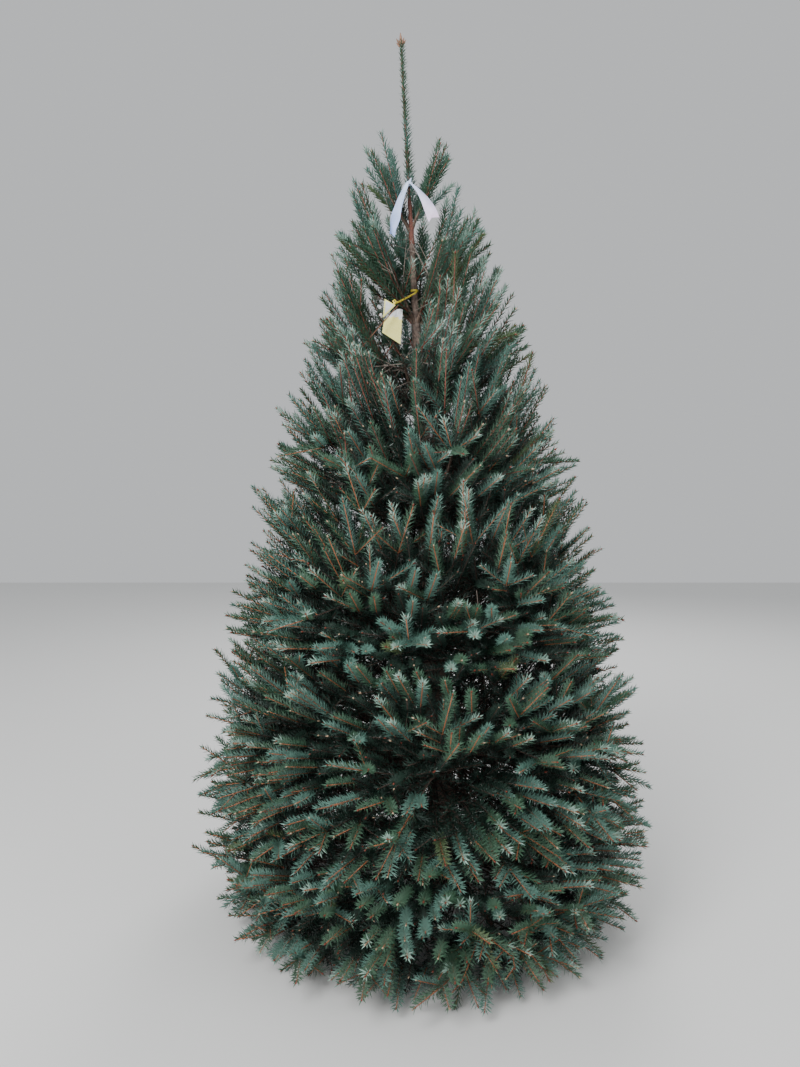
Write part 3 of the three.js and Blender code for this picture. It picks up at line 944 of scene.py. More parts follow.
# Light and dark shade, roughness, scale of patches and of grain; bark has scale of plates and relief too
woodFinishes = {
    "trunkBark": ((134, 116, 104), (84, 72, 66), 0.88, 14, 120, 62, 0.0016),
    "leaderBark": ((128, 78, 64), (88, 54, 48), 0.7, 22, 300, 180, 0.0005),
    "limbBark": ((124, 104, 90), (78, 64, 56), 0.85, 18, 200, 120, 0.0009),
    "youngTwig": ((188, 112, 72), (136, 80, 54), 0.6, 16, 400),
    # painted shade: young twigs high in the crown, darker and redder as if lit from behind
    "backlitShadeTwig": ((152, 78, 60), (106, 54, 46), 0.6, 16, 400),
    "oldTwig": ((142, 98, 74), (96, 68, 54), 0.85, 16, 400),
    # painted shade: twigs deep inside the crown get this darker bark, for the shade that falls there
    "shadedInnerTwig": ((88, 70, 60), (56, 45, 40), 0.9, 16, 400),
    "dryTwig": ((140, 128, 118), (96, 86, 80), 0.9, 16, 400),
    "budScale": ((206, 182, 156), (158, 122, 94), 0.6, 30, 600),
    "leaderBud": ((160, 122, 98), (112, 80, 64), 0.6, 40, 600),
    "budRed": ((142, 66, 46), (98, 44, 34), 0.5, 30, 600),
}
finishes = {name: makeFinish(name, *values) for name, values in woodFinishes.items()}

# Needles: plain base colours, dealt out by spray
needleShades = {
    # The deep green: the own darker tone of older needles and dark sprays, and also painted shade on needles
    # inside the crown
    "needleDeepAndShade": (38, 60, 50),
    "needleGreen": (70, 104, 82),
    "needleBlue": (88, 126, 114),
    # The silver green is a painted highlight: pale needles at the tips of young shoots, more of them higher
    # in the crown where light falls from above
    "needleSilverHighlight": (140, 170, 156),
    "needleDull": (92, 112, 78),
}
deepAndShade, green, blue, silverHighlight, dull = range(len(needleShades))
needleGloss = {"Roughness": 0.38, "Specular IOR Level": 0.6}
needleFinishes = []
for name, shade in needleShades.items():
    needleFinishes.append(newMaterial(name, {"Base Color": tint(*shade), **needleGloss}))
print("finishes made")


# Trunk: a ring drawn out from the flat cut to the leader's tip
trunk = {
    "sides": 20,
    "step": 0.045,
    "swelling": 0.07,
    "swellingHeight": 0.03,
    "reliefSize": 0.018,
    "reliefDepth": 0.0032,
    "reliefLevel": 0.4,
    "youngBarkFrom": 1.72,
    "thinFrom": 1.1,
    "thinning": 0.5,
    "flatBelow": 0.002,
}


# The bark thins towards the leader, where the solid trunk is kept stout
def barkRadius(height):
    share = max(0, min((height - trunk["thinFrom"]) / (tree["leaderFoot"] - trunk["thinFrom"]), 1))
    thinning = 0 if height >= tree["leaderFoot"] else trunk["thinning"] * share * share * (3 - 2 * share)
    return trunkRadius(height) * (1 - thinning)


def buildTrunk():
    deselectAll()
    bpy.ops.mesh.primitive_circle_add(vertices=trunk["sides"], radius=barkRadius(0), fill_type="NGON")
    piece = bpy.context.object
    rings = round(tree["trunkTop"] / trunk["step"])
    bpy.ops.object.mode_set(mode="EDIT")
    bpy.ops.mesh.select_mode(type="FACE")
    bpy.ops.mesh.select_all(action="SELECT")
    low = 0
    for ring in range(1, rings + 1):
        high = tree["trunkTop"] * ring / rings
        grow = barkRadius(high) / barkRadius(low)
        rise = trunkAxis(high) - trunkAxis(low)
        bpy.ops.mesh.extrude_region_move(TRANSFORM_OT_translate={"value": rise})
        bpy.ops.transform.resize(value=(grow, grow, 1), center_override=trunkAxis(high))
        low = high
    bpy.ops.mesh.select_all(action="SELECT")
    bpy.ops.mesh.normals_make_consistent(inside=False)
    bpy.ops.object.mode_set(mode="OBJECT")
    shapeTrunkRings(piece.data)
    addRounding(piece, 2).boundary_smooth = "PRESERVE_CORNERS"
    addRelief(piece, "barkPlates", "VORONOI", trunk["reliefSize"], trunk["reliefDepth"], trunk["reliefLevel"])
    applyModifiers(piece)
    flattenFoot(piece.data)
    settle(piece, "trunk_bark", finishes["trunkBark"], finishes["leaderBark"])
    for face in piece.data.polygons:
        face.material_index = 1 if face.center.z > trunk["youngBarkFrom"] else 0
        face.use_smooth = True
    declare(piece, "bark", "trunk")


# Lobes at the foot, and a swelling at each whorl
def shapeTrunkRings(mesh):
    for vertex in mesh.vertices:
        height = vertex.co.z
        axis = trunkAxis(height)
        offset = vertex.co - axis
        angle = math.atan2(offset.y, offset.x)
        lobes = tree["flareLobeDepth"] * math.exp(-height / tree["flareHeight"])
        lobes *= math.cos(tree["flareLobes"] * angle)
        swell = sum(math.exp(-((height - h) / trunk["swellingHeight"]) ** 2) for h in crown["whorlHeights"])
        vertex.co = axis + offset * (1 + lobes + trunk["swelling"] * swell)


def flattenFoot(mesh):
    for vertex in mesh.vertices:
        if vertex.co.z < trunk["flatBelow"]:
            vertex.co.z = 0


buildTrunk()
print("trunk made")


# Boughs and stems: bevelled curves along each limb, thinning outwards
bough = {"points": 9, "sides": 2, "rootShare": 0.2, "reliefSize": 0.012, "reliefDepth": 0.0016}


def limbRow(limb):
    near = trunkRadius(limb["height"]) * bough["rootShare"]
    far = stemEnd(limb)
    last = bough["points"] - 1
    reaches = [near + (far - near) * index / last for index in range(bough["points"])]
    return [(limbPoint(limb, reach), stemRadius(limb, reach)) for reach in reaches]


def buildBoughs():
    shape = {"bevel_depth": 1, "bevel_resolution": bough["sides"], "use_fill_caps": True}
    for whorl in range(len(crown["whorlHeights"])):
        tier = [limb for limb in limbs if limb["whorl"] == whorl]
        name = f"limbs_{whorl + 1}"
        piece = meshFromCurve(name, [limbRow(limb) for limb in tier], **shape)
        addRounding(piece, 1)
        addRelief(piece, f"limbLumps{whorl}", "CLOUDS", bough["reliefSize"], bough["reliefDepth"])
        applyModifiers(piece)
        settle(piece, name, finishes["limbBark"])
        bpy.ops.object.shade_smooth()
        declare(piece, "bark", *[f"bough_{limb['name']}" for limb in tier if limb["hasBough"]])


buildBoughs()
print("limbs made")


# Twigs: three-sided tubes, one for each length, closed at the tip
def ringAround(place, heading, radius):
    level = heading.cross(up)
    level = level.normalized() if level.length > 0.01 else Vector((1, 0, 0))
    over = level.cross(heading)
    ring = []
    for corner in range(3):
        angle = 2 * math.pi * corner / 3 + math.pi / 2
        ring.append(place + (level * math.cos(angle) + over * math.sin(angle)) * radius)
    return ring


# Young shoots high in the crown are painted darker and redder, a painted shade of twigs lit from behind, by a
# drift from twig to twig
twigTones = {"finishes": ("youngTwig", "oldTwig", "backlitShadeTwig", "shadedInnerTwig"), "backlitShadeFrom": 1.4, "backlitShadeDrift": 0.3}


def twigTone(twig):
    # Twigs deep inside the crown take the darker finish as painted shade
    if isInner(twig):
        return 3
    # Young shoots high in the crown take the darker, redder finish as painted shade
    if twig.year < 2 and twig.far.z + twigTones["backlitShadeDrift"] * twig.tone > twigTones["backlitShadeFrom"]:
        return 2
    return min(twig.year // 2, 1)


def buildTwigs(name, lengths, materials):
    points = []
    triangles = []
    tones = []
    for twig in lengths:
        heading = (twig.far - twig.near).normalized()
        first = len(points)
        points += ringAround(twig.near, heading, twig.nearRadius)
        points += ringAround(twig.far, heading, twig.farRadius)
        for corner in range(3):
            after = (corner + 1) % 3
            triangles.append((first + corner, first + after, first + 3 + after))
            triangles.append((first + corner, first + 3 + after, first + 3 + corner))
        if twig.year == 0:
            triangles.append((first + 3, first + 4, first + 5))
        tones += [min(twigTone(twig), len(materials) - 1)] * (len(triangles) - len(tones))
    declare(meshFromArrays(name, points, triangles, tones, materials, smooth=True), "bark")


def buildLivingTwigs():
    materials = [finishes[name] for name in twigTones["finishes"]]
    buildTwigs("twigs_low", [twig for twig in segments if twig.whorl < 3], materials)
    buildTwigs("twigs_high", [twig for twig in segments if twig.whorl >= 3], materials)


buildLivingTwigs()
print("twigs made")


# Needles: folded blades of two triangles, in a spiral that is parted under the shoot
needle = {
    "perMetre": 700,
    "fewest": 3,
    "places": (0.2, 0.8),
    "lightDepth": 0.11,
    "shadeDepth": 0.26,
    "shadeDensity": 0.16,
    "roomyCover": 62,
    "mostShare": 1.3,
    "leastShare": 0.75,
    "yearDensity": [1.1, 0.95, 0.6],
    "densityByHeight": ([1.35, 1.7], [1, 1.2]),
    "lengthByHeight": ([1.35, 1.7], [1, 1.2]),
    "length": 0.0205,
    "lengthSpread": (0.82, 1.1),
    "width": 0.0033,
    "widestAt": 0.38,
    "fold": 0.0004,
    "angle": 0.92,
    "angleSpread": 0.16,
    "lift": 0.30,
    "parting": 0.75,
    "turnMix": 6.4,
    "turnJitter": 0.12,
    "tipFrom": 0.86,
    "tipParting": 0.3,
    "tipAngle": 0.72,
    "tipLength": 0.8,
    "sunk": 0.7,
    "lowest": 0.002,
    "blueShare": 0.45,
    "deepShare": 0.5,
    "dullFrom": 0.975,
    # Painted highlight: where along a young shoot, how often and how much more often with height the silver
    # green is given
    "highlightFrom": 0.78,
    "highlightMix": 7.3,
    "highlightShare": 0.36,
    "highlightByHeight": ([0.2, 0.7, 1.1], [0.3, 0.7, 1]),
}
nearlyUp = np.array([0.02, 0.01, 1.0])


def unit(rows):
    return rows / np.maximum(np.linalg.norm(rows, axis=1, keepdims=True), 1e-9)


# Two directions square to each axis, the first of them level
def squareTo(axis):
    level = unit(np.cross(axis, nearlyUp))
    return level, np.cross(level, axis)


# Share of the full number of needles: fewer inside the crown and where shoots crowd
def lightShares(lengths):
    shares = []
    for twig in lengths:
        column, row, depth = shellCell(middleOf(twig))
        light = (needle["shadeDepth"] - depth) / (needle["shadeDepth"] - needle["lightDepth"])
        room = needle["roomyCover"] * cellArea(column, row) / max(shellCover[column, row], 0.01)
        share = max(min(light, 1), needle["shadeDensity"])
        share *= max(min(room, needle["mostShare"]), needle["leastShare"])
        shares.append(share * np.interp(twig.far.z, *needle["densityByHeight"]))
    return np.array(shares)


# Finish of each needle, by its spray, its year and its place; the first that holds counts
def needleTones(lengths, owner, share):
    spray = np.array([twig.tone for twig in lengths])[owner]
    years = np.array([twig.year for twig in lengths])[owner]
    inner = np.array([isInner(twig) for twig in lengths])[owner]
    # More painted highlight higher in the crown, where light falls from above
    highlightGain = np.interp(np.array([twig.far.z for twig in lengths]), *needle["highlightByHeight"])[owner]
    young = years == 0
    pale = spray * needle["highlightMix"] % 1 / highlightGain < needle["highlightShare"]
    rules = [
        # Needles inside the crown take the deep green as painted shade
        (inner, deepAndShade),
        (spray > needle["dullFrom"], dull),
        # Young shoot tips get the silver green as a painted highlight
        (young & pale & (share > needle["highlightFrom"]), silverHighlight),
        # The oldest needles take the deep green, partly for their own darker tone and partly as painted shade
        # further in
        (years == 2, deepAndShade),
        (young & (spray < needle["blueShare"]), blue),
        (young, green),
        (spray < needle["deepShare"], deepAndShade),
    ]
    return np.select([rule for rule, tone in rules], [tone for rule, tone in rules], green)


def buildNeedles(name, lengths, generator, nodes, lengthScale=1.0, angleScale=1.0, density=1.0):
    starts = np.array([twig.near[:] for twig in lengths])
    ends = np.array([twig.far[:] for twig in lengths])
    radii = np.array([(twig.nearRadius + twig.farRadius) / 2 for twig in lengths])
    years = np.array([twig.year for twig in lengths])
    sprayTone = np.array([twig.tone for twig in lengths])
    runs = ends - starts
    sizes = np.linalg.norm(runs, axis=1)
    thickness = np.array(needle["yearDensity"])[years] * lightShares(lengths)
    counts = np.maximum((sizes * needle["perMetre"] * thickness * density).astype(int), needle["fewest"])
    owner = np.repeat(np.arange(len(counts)), counts)
    offset = np.arange(len(owner)) - np.repeat(np.cumsum(counts) - counts, counts)
    total = len(owner)
    share = (offset + generator.uniform(*needle["places"], total)) / counts[owner]
    atTip = (years[owner] == 0) & (share > needle["tipFrom"])

    # Round its shoot each needle has its turn, and leans from the shoot by its spread
    axis = unit(runs)[owner]
    level, over = squareTo(axis)
    around = (offset * goldenTurn / (2 * math.pi) + sprayTone[owner] * needle["turnMix"]) % 1
    parting = needle["parting"] * np.where(atTip, needle["tipParting"], 1)
    jitter = generator.uniform(-needle["turnJitter"], needle["turnJitter"], total)
    turn = parting - math.pi / 2 + around * 2 * (math.pi - parting) + jitter
    radial = level * np.cos(turn)[:, None] + over * np.sin(turn)[:, None]
    spread = (needle["angle"] + generator.uniform(-1, 1, total) * needle["angleSpread"]) * angleScale
    spread = np.where(atTip, spread * needle["tipAngle"], spread)
    heading = axis * np.cos(spread)[:, None] + radial * np.sin(spread)[:, None]
    heading[:, 2] += needle["lift"] * (1 - np.abs(axis[:, 2]))
    heading = unit(heading)

    # Four corners: base, left, tip and right, folded along the middle
    longer = lengthScale * np.interp(ends[:, 2], *needle["lengthByHeight"])
    size = needle["length"] * longer[owner] * generator.uniform(*needle["lengthSpread"], total)
    size = np.where(atTip, size * needle["tipLength"], size)
    base = starts[owner] + runs[owner] * share[:, None] + radial * (radii[owner] * needle["sunk"])[:, None]
    sideways = unit(np.cross(heading, radial))
    face = np.cross(sideways, heading)
    tip = base + heading * size[:, None]
    widest = base + heading * (size * needle["widestAt"])[:, None] - face * needle["fold"]
    left = widest + sideways * needle["width"] / 2
    right = widest - sideways * needle["width"] / 2
    points = np.stack([base, left, tip, right], axis=1).reshape(-1, 3)
    points[:, 2] = np.maximum(points[:, 2], needle["lowest"])
    first = np.arange(total) * 4
    triangles = np.stack([first, first + 1, first + 2, first, first + 2, first + 3], axis=1).reshape(-1, 3)
    tones = np.repeat(needleTones(lengths, owner, share), 2)
    declare(meshFromArrays(name, points, triangles, tones, needleFinishes), "needles", *nodes)
    print(f"{name}: {len(triangles)} triangles")
    return total


def buildAllNeedles():
    generator = np.random.default_rng(tree["seed"])
    needled = [twig for twig in segments if twig.year < growth["yearsWithNeedles"]]
    total = 0
    for whorl in range(len(crown["whorlHeights"])):
        for half, places in (("a", (0, 1, 2)), ("b", (3, 4))):
            own = [twig for twig in needled if twig.whorl == whorl and twig.place in places]
            masses = [limb for limb in limbs if limb["whorl"] == whorl and limb["place"] in places]
            nodes = [f"foliage_{limb['name']}" for limb in masses]
            total += buildNeedles(f"needles_{whorl + 1}_{half}", own, generator, nodes)
    return total


shellCover = measureCover()
needleCount = buildAllNeedles()
print(f"needles made: {needleCount}")


# Leader: short needles laid close along the stem, and a cluster of buds at its tip
leader = {
    "from": 1.825,
    "tones": (0.35, 0.62, 0.38, 0.65, 0.5, 0.75),
    "lengthScales": (1.05, 0.66),
    "angleScale": 1.1,
    "density": 1.15,
    "topBud": (0.027, 0.0085),
    "topBudDrop": 0.002,
    "sideBuds": 7,
    "sideBud": (0.017, 0.0062),
    "sideBudDrop": 0.006,
    "sideBudStagger": 0.004,
    "sideBudReach": 0.003,
    "sideBudLean": 0.75,
    "budRoot": 1.15,
    "budTaper": 0.75,
}


def buildLeader():
    lengths = []
    step = (tree["trunkTop"] - leader["from"]) / len(leader["tones"])
    for index, tone in enumerate(leader["tones"]):
        heights = (leader["from"] + step * index, leader["from"] + step * index + step)
        places = [trunkAxis(height) for height in heights]
        radii = [trunkRadius(height) for height in heights]
        lengths.append(twigLength(*places, *radii, 0, lastWhorl, 0, tone))
    generator = np.random.default_rng(tree["seed"] + 1)
    lengthScales = np.linspace(*leader["lengthScales"], len(lengths))
    scales = (lengthScales, leader["angleScale"], leader["density"])
    buildNeedles("needles_leader", lengths, generator, ["foliage_leader"], *scales)


# A pointed bud: its root sits at a place
def addBud(place, direction, length, width):
    middle = place + direction * length / 2
    bpy.ops.mesh.primitive_uv_sphere_add(segments=10, ring_count=8, radius=1, location=middle)
    piece = bpy.context.object
    piece.scale = (width / 2, width / 2, length / 2)
    piece.rotation_euler = direction.to_track_quat("Z", "Y").to_euler()
    applyPlace()
    for vertex in piece.data.vertices:
        along = (vertex.co - place).dot(direction) / length
        axis = place + direction * along * length
        vertex.co = axis + (vertex.co - axis) * (leader["budRoot"] - leader["budTaper"] * along)
    return piece


def buildLeaderBuds():
    deselectAll()
    top = trunkAxis(tree["trunkTop"])
    rise = (trunkAxis(1) - trunkAxis(0)).normalized()
    buds = [addBud(top - rise * leader["topBudDrop"], rise, *leader["topBud"])]
    for index in range(leader["sideBuds"]):
        side = outwards(2 * math.pi * index / leader["sideBuds"])
        drop = leader["sideBudDrop"] + leader["sideBudStagger"] * (index % 2)
        place = top - rise * drop + side * leader["sideBudReach"]
        buds.append(addBud(place, (rise + side * leader["sideBudLean"]).normalized(), *leader["sideBud"]))
    piece = joinParts(buds)
    settle(piece, "leader_buds", finishes["leaderBud"])
    bpy.ops.object.shade_smooth()
    declare(piece, "bark")


buildLeader()
buildLeaderBuds()
print("leader made")


# Buds: a small four-sided spindle at each tip of the outer shell
bud = {
    "length": 0.0080,
    "width": 0.0044,
    "widestAt": 0.36,
    "leastSize": 0.75,
    "sizeGain": 0.5,
    "deepest": 0.12,
    "redShare": 0.68,
    "redMix": 9.7,
}


def buildBuds():
    shown = [tip for tip in tips if shellCell(tip.place)[2] < bud["deepest"]]
    ends = np.array([tip.place[:] for tip in shown])
    axis = unit(np.array([tip.heading[:] for tip in shown]))
    size = np.array([bud["leastSize"] + bud["sizeGain"] * tip.tone for tip in shown])[:, None]
    level, over = squareTo(axis)
    middle = ends + axis * bud["length"] * bud["widestAt"] * size
    half = bud["width"] / 2 * size
    corners = [middle + level * half, middle + over * half, middle - level * half, middle - over * half]
    points = np.stack([ends, *corners, ends + axis * bud["length"] * size], axis=1).reshape(-1, 3)
    first = np.arange(len(shown))[:, None] * 6
    pattern = []
    for corner in range(4):
        here, after = 1 + corner, 1 + (corner + 1) % 4
        pattern += [(0, here, after), (5, after, here)]
    triangles = (first[:, :, None] + np.array(pattern)[None]).reshape(-1, 3)
    tones = np.repeat([int(tip.tone * bud["redMix"] % 1 < bud["redShare"]) for tip in shown], len(pattern))
    shades = [finishes["budScale"], finishes["budRed"]]
    declare(meshFromArrays("buds", points, triangles, tones, shades, smooth=True), "bark")
    print(f"buds: {len(triangles)} triangles")


buildBuds()


# Dry twigs: bare and forked, from the trunk and the inner part of the limbs
dry = {
    "depth": 0.07,
    "perLimb": 9,
    "limbShares": (0.12, 0.55),
    "limbSpread": (0.7, 1.2),
    "onTrunk": 130,
    "trunkFrom": 0.10,
    "trunkRun": 1.5,
    "trunkRise": (-0.3, 0.4),
    "length": (0.07, 0.19),
    "bend": 0.02,
    "lowest": 0.03,
    "radius": 0.0014,
    "taper": (1.3, 0.6),
    "forks": 2,
    "forkShares": (0.35, 0.8),
    "forkSpread": (0.5, 0.9),
    "forkLengths": (0.3, 0.55),
    "forkTaper": (0.8, 0.5),
    "rolls": (0, 6.28),
    "lookAhead": 0.05,
}


def dryLength(start, end, taper):
    end.z = max(end.z, dry["lowest"])
    return twigLength(start, end, dry["radius"] * taper[0], dry["radius"] * taper[1], 0, 0, 0, 0)


def dryTwig(start, direction, keys):
    length = vary(*dry["length"], *keys, 1)
    end = start + direction * length + up * vary(-dry["bend"], dry["bend"], *keys, 2)
    twigs = [dryLength(start, end, dry["taper"])]
    for fork in range(dry["forks"]):
        point = start.lerp(end, vary(*dry["forkShares"], *keys, 3, fork))
        spread = vary(*dry["forkSpread"], *keys, 5, fork)
        side = branchDirection((end - start).normalized(), vary(*dry["rolls"], *keys, 4, fork), spread)
        forkEnd = point + side * length * vary(*dry["forkLengths"], *keys, 6, fork)
        twigs.append(dryLength(point, forkEnd, dry["forkTaper"]))
    return twigs


def buildDryTwigs():
    twigs = []
    for limb in limbs:
        for index in range(dry["perLimb"]):
            keys = (88, limb["whorl"], limb["place"], index)
            share = vary(*dry["limbShares"], *keys, 7)
            start = limbPoint(limb, limb["reach"] * share)
            heading = (limbPoint(limb, limb["reach"] * (share + dry["lookAhead"])) - start).normalized()
            spread = vary(*dry["limbSpread"], *keys, 9)
            direction = branchDirection(heading, vary(*dry["rolls"], *keys, 8), spread)
            twigs += dryTwig(start, direction, keys)
    for index in range(dry["onTrunk"]):
        keys = (89, index)
        height = dry["trunkFrom"] + dry["trunkRun"] * index / dry["onTrunk"]
        direction = outwards(index * goldenTurn)
        direction.z = vary(*dry["trunkRise"], *keys, 8)
        twigs += dryTwig(trunkAxis(height), direction.normalized(), keys)
    hidden = [twig for twig in twigs if shellCell(twig.far)[2] > dry["depth"]]
    clear = [twig for twig in hidden if isWayClear(twig.near, twig.far)]
    buildTwigs("twigs_dry", clear, [finishes["dryTwig"]])


buildDryTwigs()
print("buds and dry twigs made")


# Ribbon: a loop round the leader, a pinched knot, and two tails of uneven width.
# A tail's widths are pairs of a share of its length and millimetres.
ribbonShape = {
    "columns": 8,
    "rows": 40,
    "thickness": 0.0005,
    "tails": {
        "left": {
            "root": (-0.003, -0.003, 0),
            "widths": [(0, 6), (0.08, 11), (0.3, 16), (0.55, 20), (0.7, 24), (0.8, 20), (0.88, 14), (1, 15)],
            "bow": (-0.004, -0.006, 0.004),
            "twist": 0.35,
            "cup": 0.0028,
            "notch": 0.006,
        },
        "right": {
            "root": (0.003, -0.003, 0),
            "widths": [(0, 5), (0.08, 5), (0.16, 9), (0.4, 18), (0.7, 26), (0.9, 29), (1, 27)],
            "bow": (0.004, -0.006, 0.006),
            "twist": -0.25,
            "cup": -0.0026,
            "notch": 0.008,
        },
    },
    "ripples": [(19, 1.3, 0.0009), (7.3, -2.1, 0.0014)],
    "twistRate": 5,
    "cupRate": 4,
    "notchFrom": 0.85,
    "notchAside": 0.2,
    "knotSize": (0.0078, 0.0052, 0.0058),
    "foldSize": 0.006,
    "foldDepth": 0.0022,
    "peakPlace": (0.004, 0.001, 0.007),
    "peakTurn": (0.1, 0.35, 0),
    "peak": {"radius1": 0.0045, "radius2": 0.0012, "depth": 0.011},
    "loop": {"major_radius": 0.0092, "minor_radius": 0.0017},
    "loopHeight": 3.2,
    "roughness": 0.42,
    "creaseScale": 160,
    "creaseDepth": 0.0012,
}


# Thin film: two shades that change with height, and fine creases
def makeFilm(name, topShade, footShade, top, foot):
    material = newMaterial(name, {"Roughness": ribbonShape["roughness"]})
    nodeTree = material.node_tree
    place = objectPlace(nodeTree)
    height = addNode(nodeTree, "SeparateXYZ", {"Vector": place}).outputs["Z"]
    share = addNode(nodeTree, "MapRange", {"Value": height, "From Min": foot, "From Max": top})
    shades = {"Factor": share.outputs["Result"], "A": tint(*footShade), "B": tint(*topShade)}
    mix = addNode(nodeTree, "Mix", shades, data_type="RGBA")
    noise = {"Vector": place, "Scale": ribbonShape["creaseScale"], "Detail": 4}
    creases = addNode(nodeTree, "TexNoise", noise).outputs["Fac"]
    bump = addNode(nodeTree, "Bump", {"Height": creases, "Distance": ribbonShape["creaseDepth"]})
    feedShader(material, {"Base Color": mix.outputs["Result"], "Normal": bump.outputs["Normal"]})
    return material


ribbonFilms = {
    "left": makeFilm("ribbonBlue", (206, 221, 250), (166, 190, 242), 1.87, 1.74),
    "right": makeFilm("ribbonLilac", (204, 216, 248), (232, 210, 240), 1.86, 1.77),
}


# Sum of waves; each has its rates in two directions and its size
def waves(along, across, rows):
    total = 0
    for rateAlong, rateAcross, size in rows:
        total += math.sin(along * rateAlong + across * rateAcross) * size
    return total


def makeTail(side, end):
    shape = ribbonShape["tails"][side]
    shares = [share for share, width in shape["widths"]]
    widths = [width / 1000 for share, width in shape["widths"]]
    start = ribbonKnot + Vector(shape["root"])
    run = end - start
    along = run.normalized()
    across = (Vector((1, 0, 0)) - along * along.x).normalized()
    deselectAll()
    grid = {"x_subdivisions": ribbonShape["columns"], "y_subdivisions": ribbonShape["rows"]}
    bpy.ops.mesh.primitive_grid_add(**grid, size=1)
    piece = bpy.context.object
    for vertex in piece.data.vertices:
        aside = vertex.co.x * 2
        share = 0.5 - vertex.co.y
        sideways = Quaternion(along, shape["twist"] * math.sin(share * ribbonShape["twistRate"])) @ across
        front = sideways.cross(along)
        ripple = waves(share, aside, ribbonShape["ripples"])
        notched = max(share - ribbonShape["notchFrom"], 0) / (1 - ribbonShape["notchFrom"])
        place = start + run * share + Vector(shape["bow"]) * math.sin(share * math.pi)
        place += sideways * aside * np.interp(share, shares, widths) / 2
        cupped = shape["cup"] * (1 - aside ** 2) * min(share * ribbonShape["cupRate"], 1)
        place += front * (cupped + ripple * share)
        place -= along * shape["notch"] * (1 - abs(aside + ribbonShape["notchAside"])) * notched
        vertex.co = place
    thicken(piece, ribbonShape["thickness"])
    addMaterials(piece, ribbonFilms[side])
    return piece


def makeKnot():
    bpy.ops.mesh.primitive_ico_sphere_add(subdivisions=4, radius=1, location=ribbonKnot)
    knot = bpy.context.object
    knot.scale = ribbonShape["knotSize"]
    applyPlace()
    addRelief(knot, "knotFolds", "MARBLE", ribbonShape["foldSize"], ribbonShape["foldDepth"])
    applyModifiers(knot)
    peakPlace = ribbonKnot + Vector(ribbonShape["peakPlace"])
    bpy.ops.mesh.primitive_cone_add(vertices=16, location=peakPlace, rotation=ribbonShape["peakTurn"],
                                    **ribbonShape["peak"])
    peak = bpy.context.object
    applyPlace()
    loopPlace = trunkAxis(ribbon["height"])
    bpy.ops.mesh.primitive_torus_add(major_segments=40, minor_segments=10, location=loopPlace,
                                     **ribbonShape["loop"])
    loop = bpy.context.object
    loop.scale = (1, 1, ribbonShape["loopHeight"])
    applyPlace()
    for part in (knot, peak, loop):
        addMaterials(part, ribbonFilms["left"])
    return [knot, peak, loop]


creaseAngle = math.radians(50)


# Joined parts keep their own materials, and edges past the crease angle stay crisp
def finishJoined(parts, name, slot, *nodes):
    piece = joinParts(parts)
    settle(piece, name)
    bpy.ops.object.shade_smooth_by_angle(angle=creaseAngle)
    declare(piece, slot, *nodes)


def buildRibbon():
    tails = [makeTail("left", leftTailEnd), makeTail("right", rightTailEnd)]
    finishJoined([*tails, *makeKnot()], "ribbon_film", "ribbon", "ribbon")


buildRibbon()
print("ribbon made")


# Tag: a creased plate under a folded flap, on a thin strap with a knot; places are set from the hook
tagShape = {
    "plate": [
        (-0.0304, 0.003, -0.0702),
        (0.0152, -0.004, -0.1006),
        (0.0202, -0.001, -0.0220),
        (-0.0250, 0.002, -0.0380),
    ],
    "plateGrid": 16,
    "peak": (0.0076, 0.001, -0.0132),
    "peakAt": 0.7,
    "foldFrom": 0.72,
    "foldLean": 0.25,
    "foldDrop": 0.2,
    "foldEdge": 0.06,
    "bulge": 0.003,
    "crinkles": [(17, 9, 0.010), (29, -21, 0.006)],
    "flap": [(-0.0238, -0.003, 0.0109), (0.0033, -0.002, -0.0043), (-0.0284, -0.006, -0.0360)],
    "flapHem": {"thickness": 0.0032, "depth": -0.0014},
    "flapRise": 0.0025,
    "scraps": [((-0.0375, 0.000, -0.0080), 0.010), ((-0.0330, 0.001, -0.0290), 0.009)],
    "scrapTurn": (1.2, 0.5, 0.3),
    "thickness": 0.0006,
    "strapEnd": (0.0565, 0.045, 0.0390),
    "strapSteps": 6,
    "strapSag": 0.0016,
    "strapWidth": 0.0034,
    "strapThickness": 0.0008,
    "trunkClear": 0.0012,
    "trunkSteps": 24,
    "trunkWidthShare": 1.4,
    "loop": [
        (0.0010, -0.001, 0.0005),
        (-0.0035, 0, 0.0065),
        (0.0010, 0.001, 0.0100),
        (0.0042, 0, 0.0055),
        (0, 0, 0),
    ],
    "loopWidthShare": 0.8,
    "knotSize": 0.0042,
    "knotShape": (1.15, 0.8, 0.9),
    "knotShare": 0.76,
    "hookKnotShare": 1.4,
}
tagFinishes = {
    "plate": makeFinish("tagYellow", (252, 247, 158), (240, 232, 132), 0.5, 40, 500),
    "fold": makeFinish("tagFold", (240, 240, 234), (204, 208, 214), 0.45, 120, 700),
    "strap": makeFinish("tagStrap", (244, 224, 84), (226, 196, 54), 0.45, 60, 500),
}


def atTag(offset):
    return tagTop + Vector(offset)


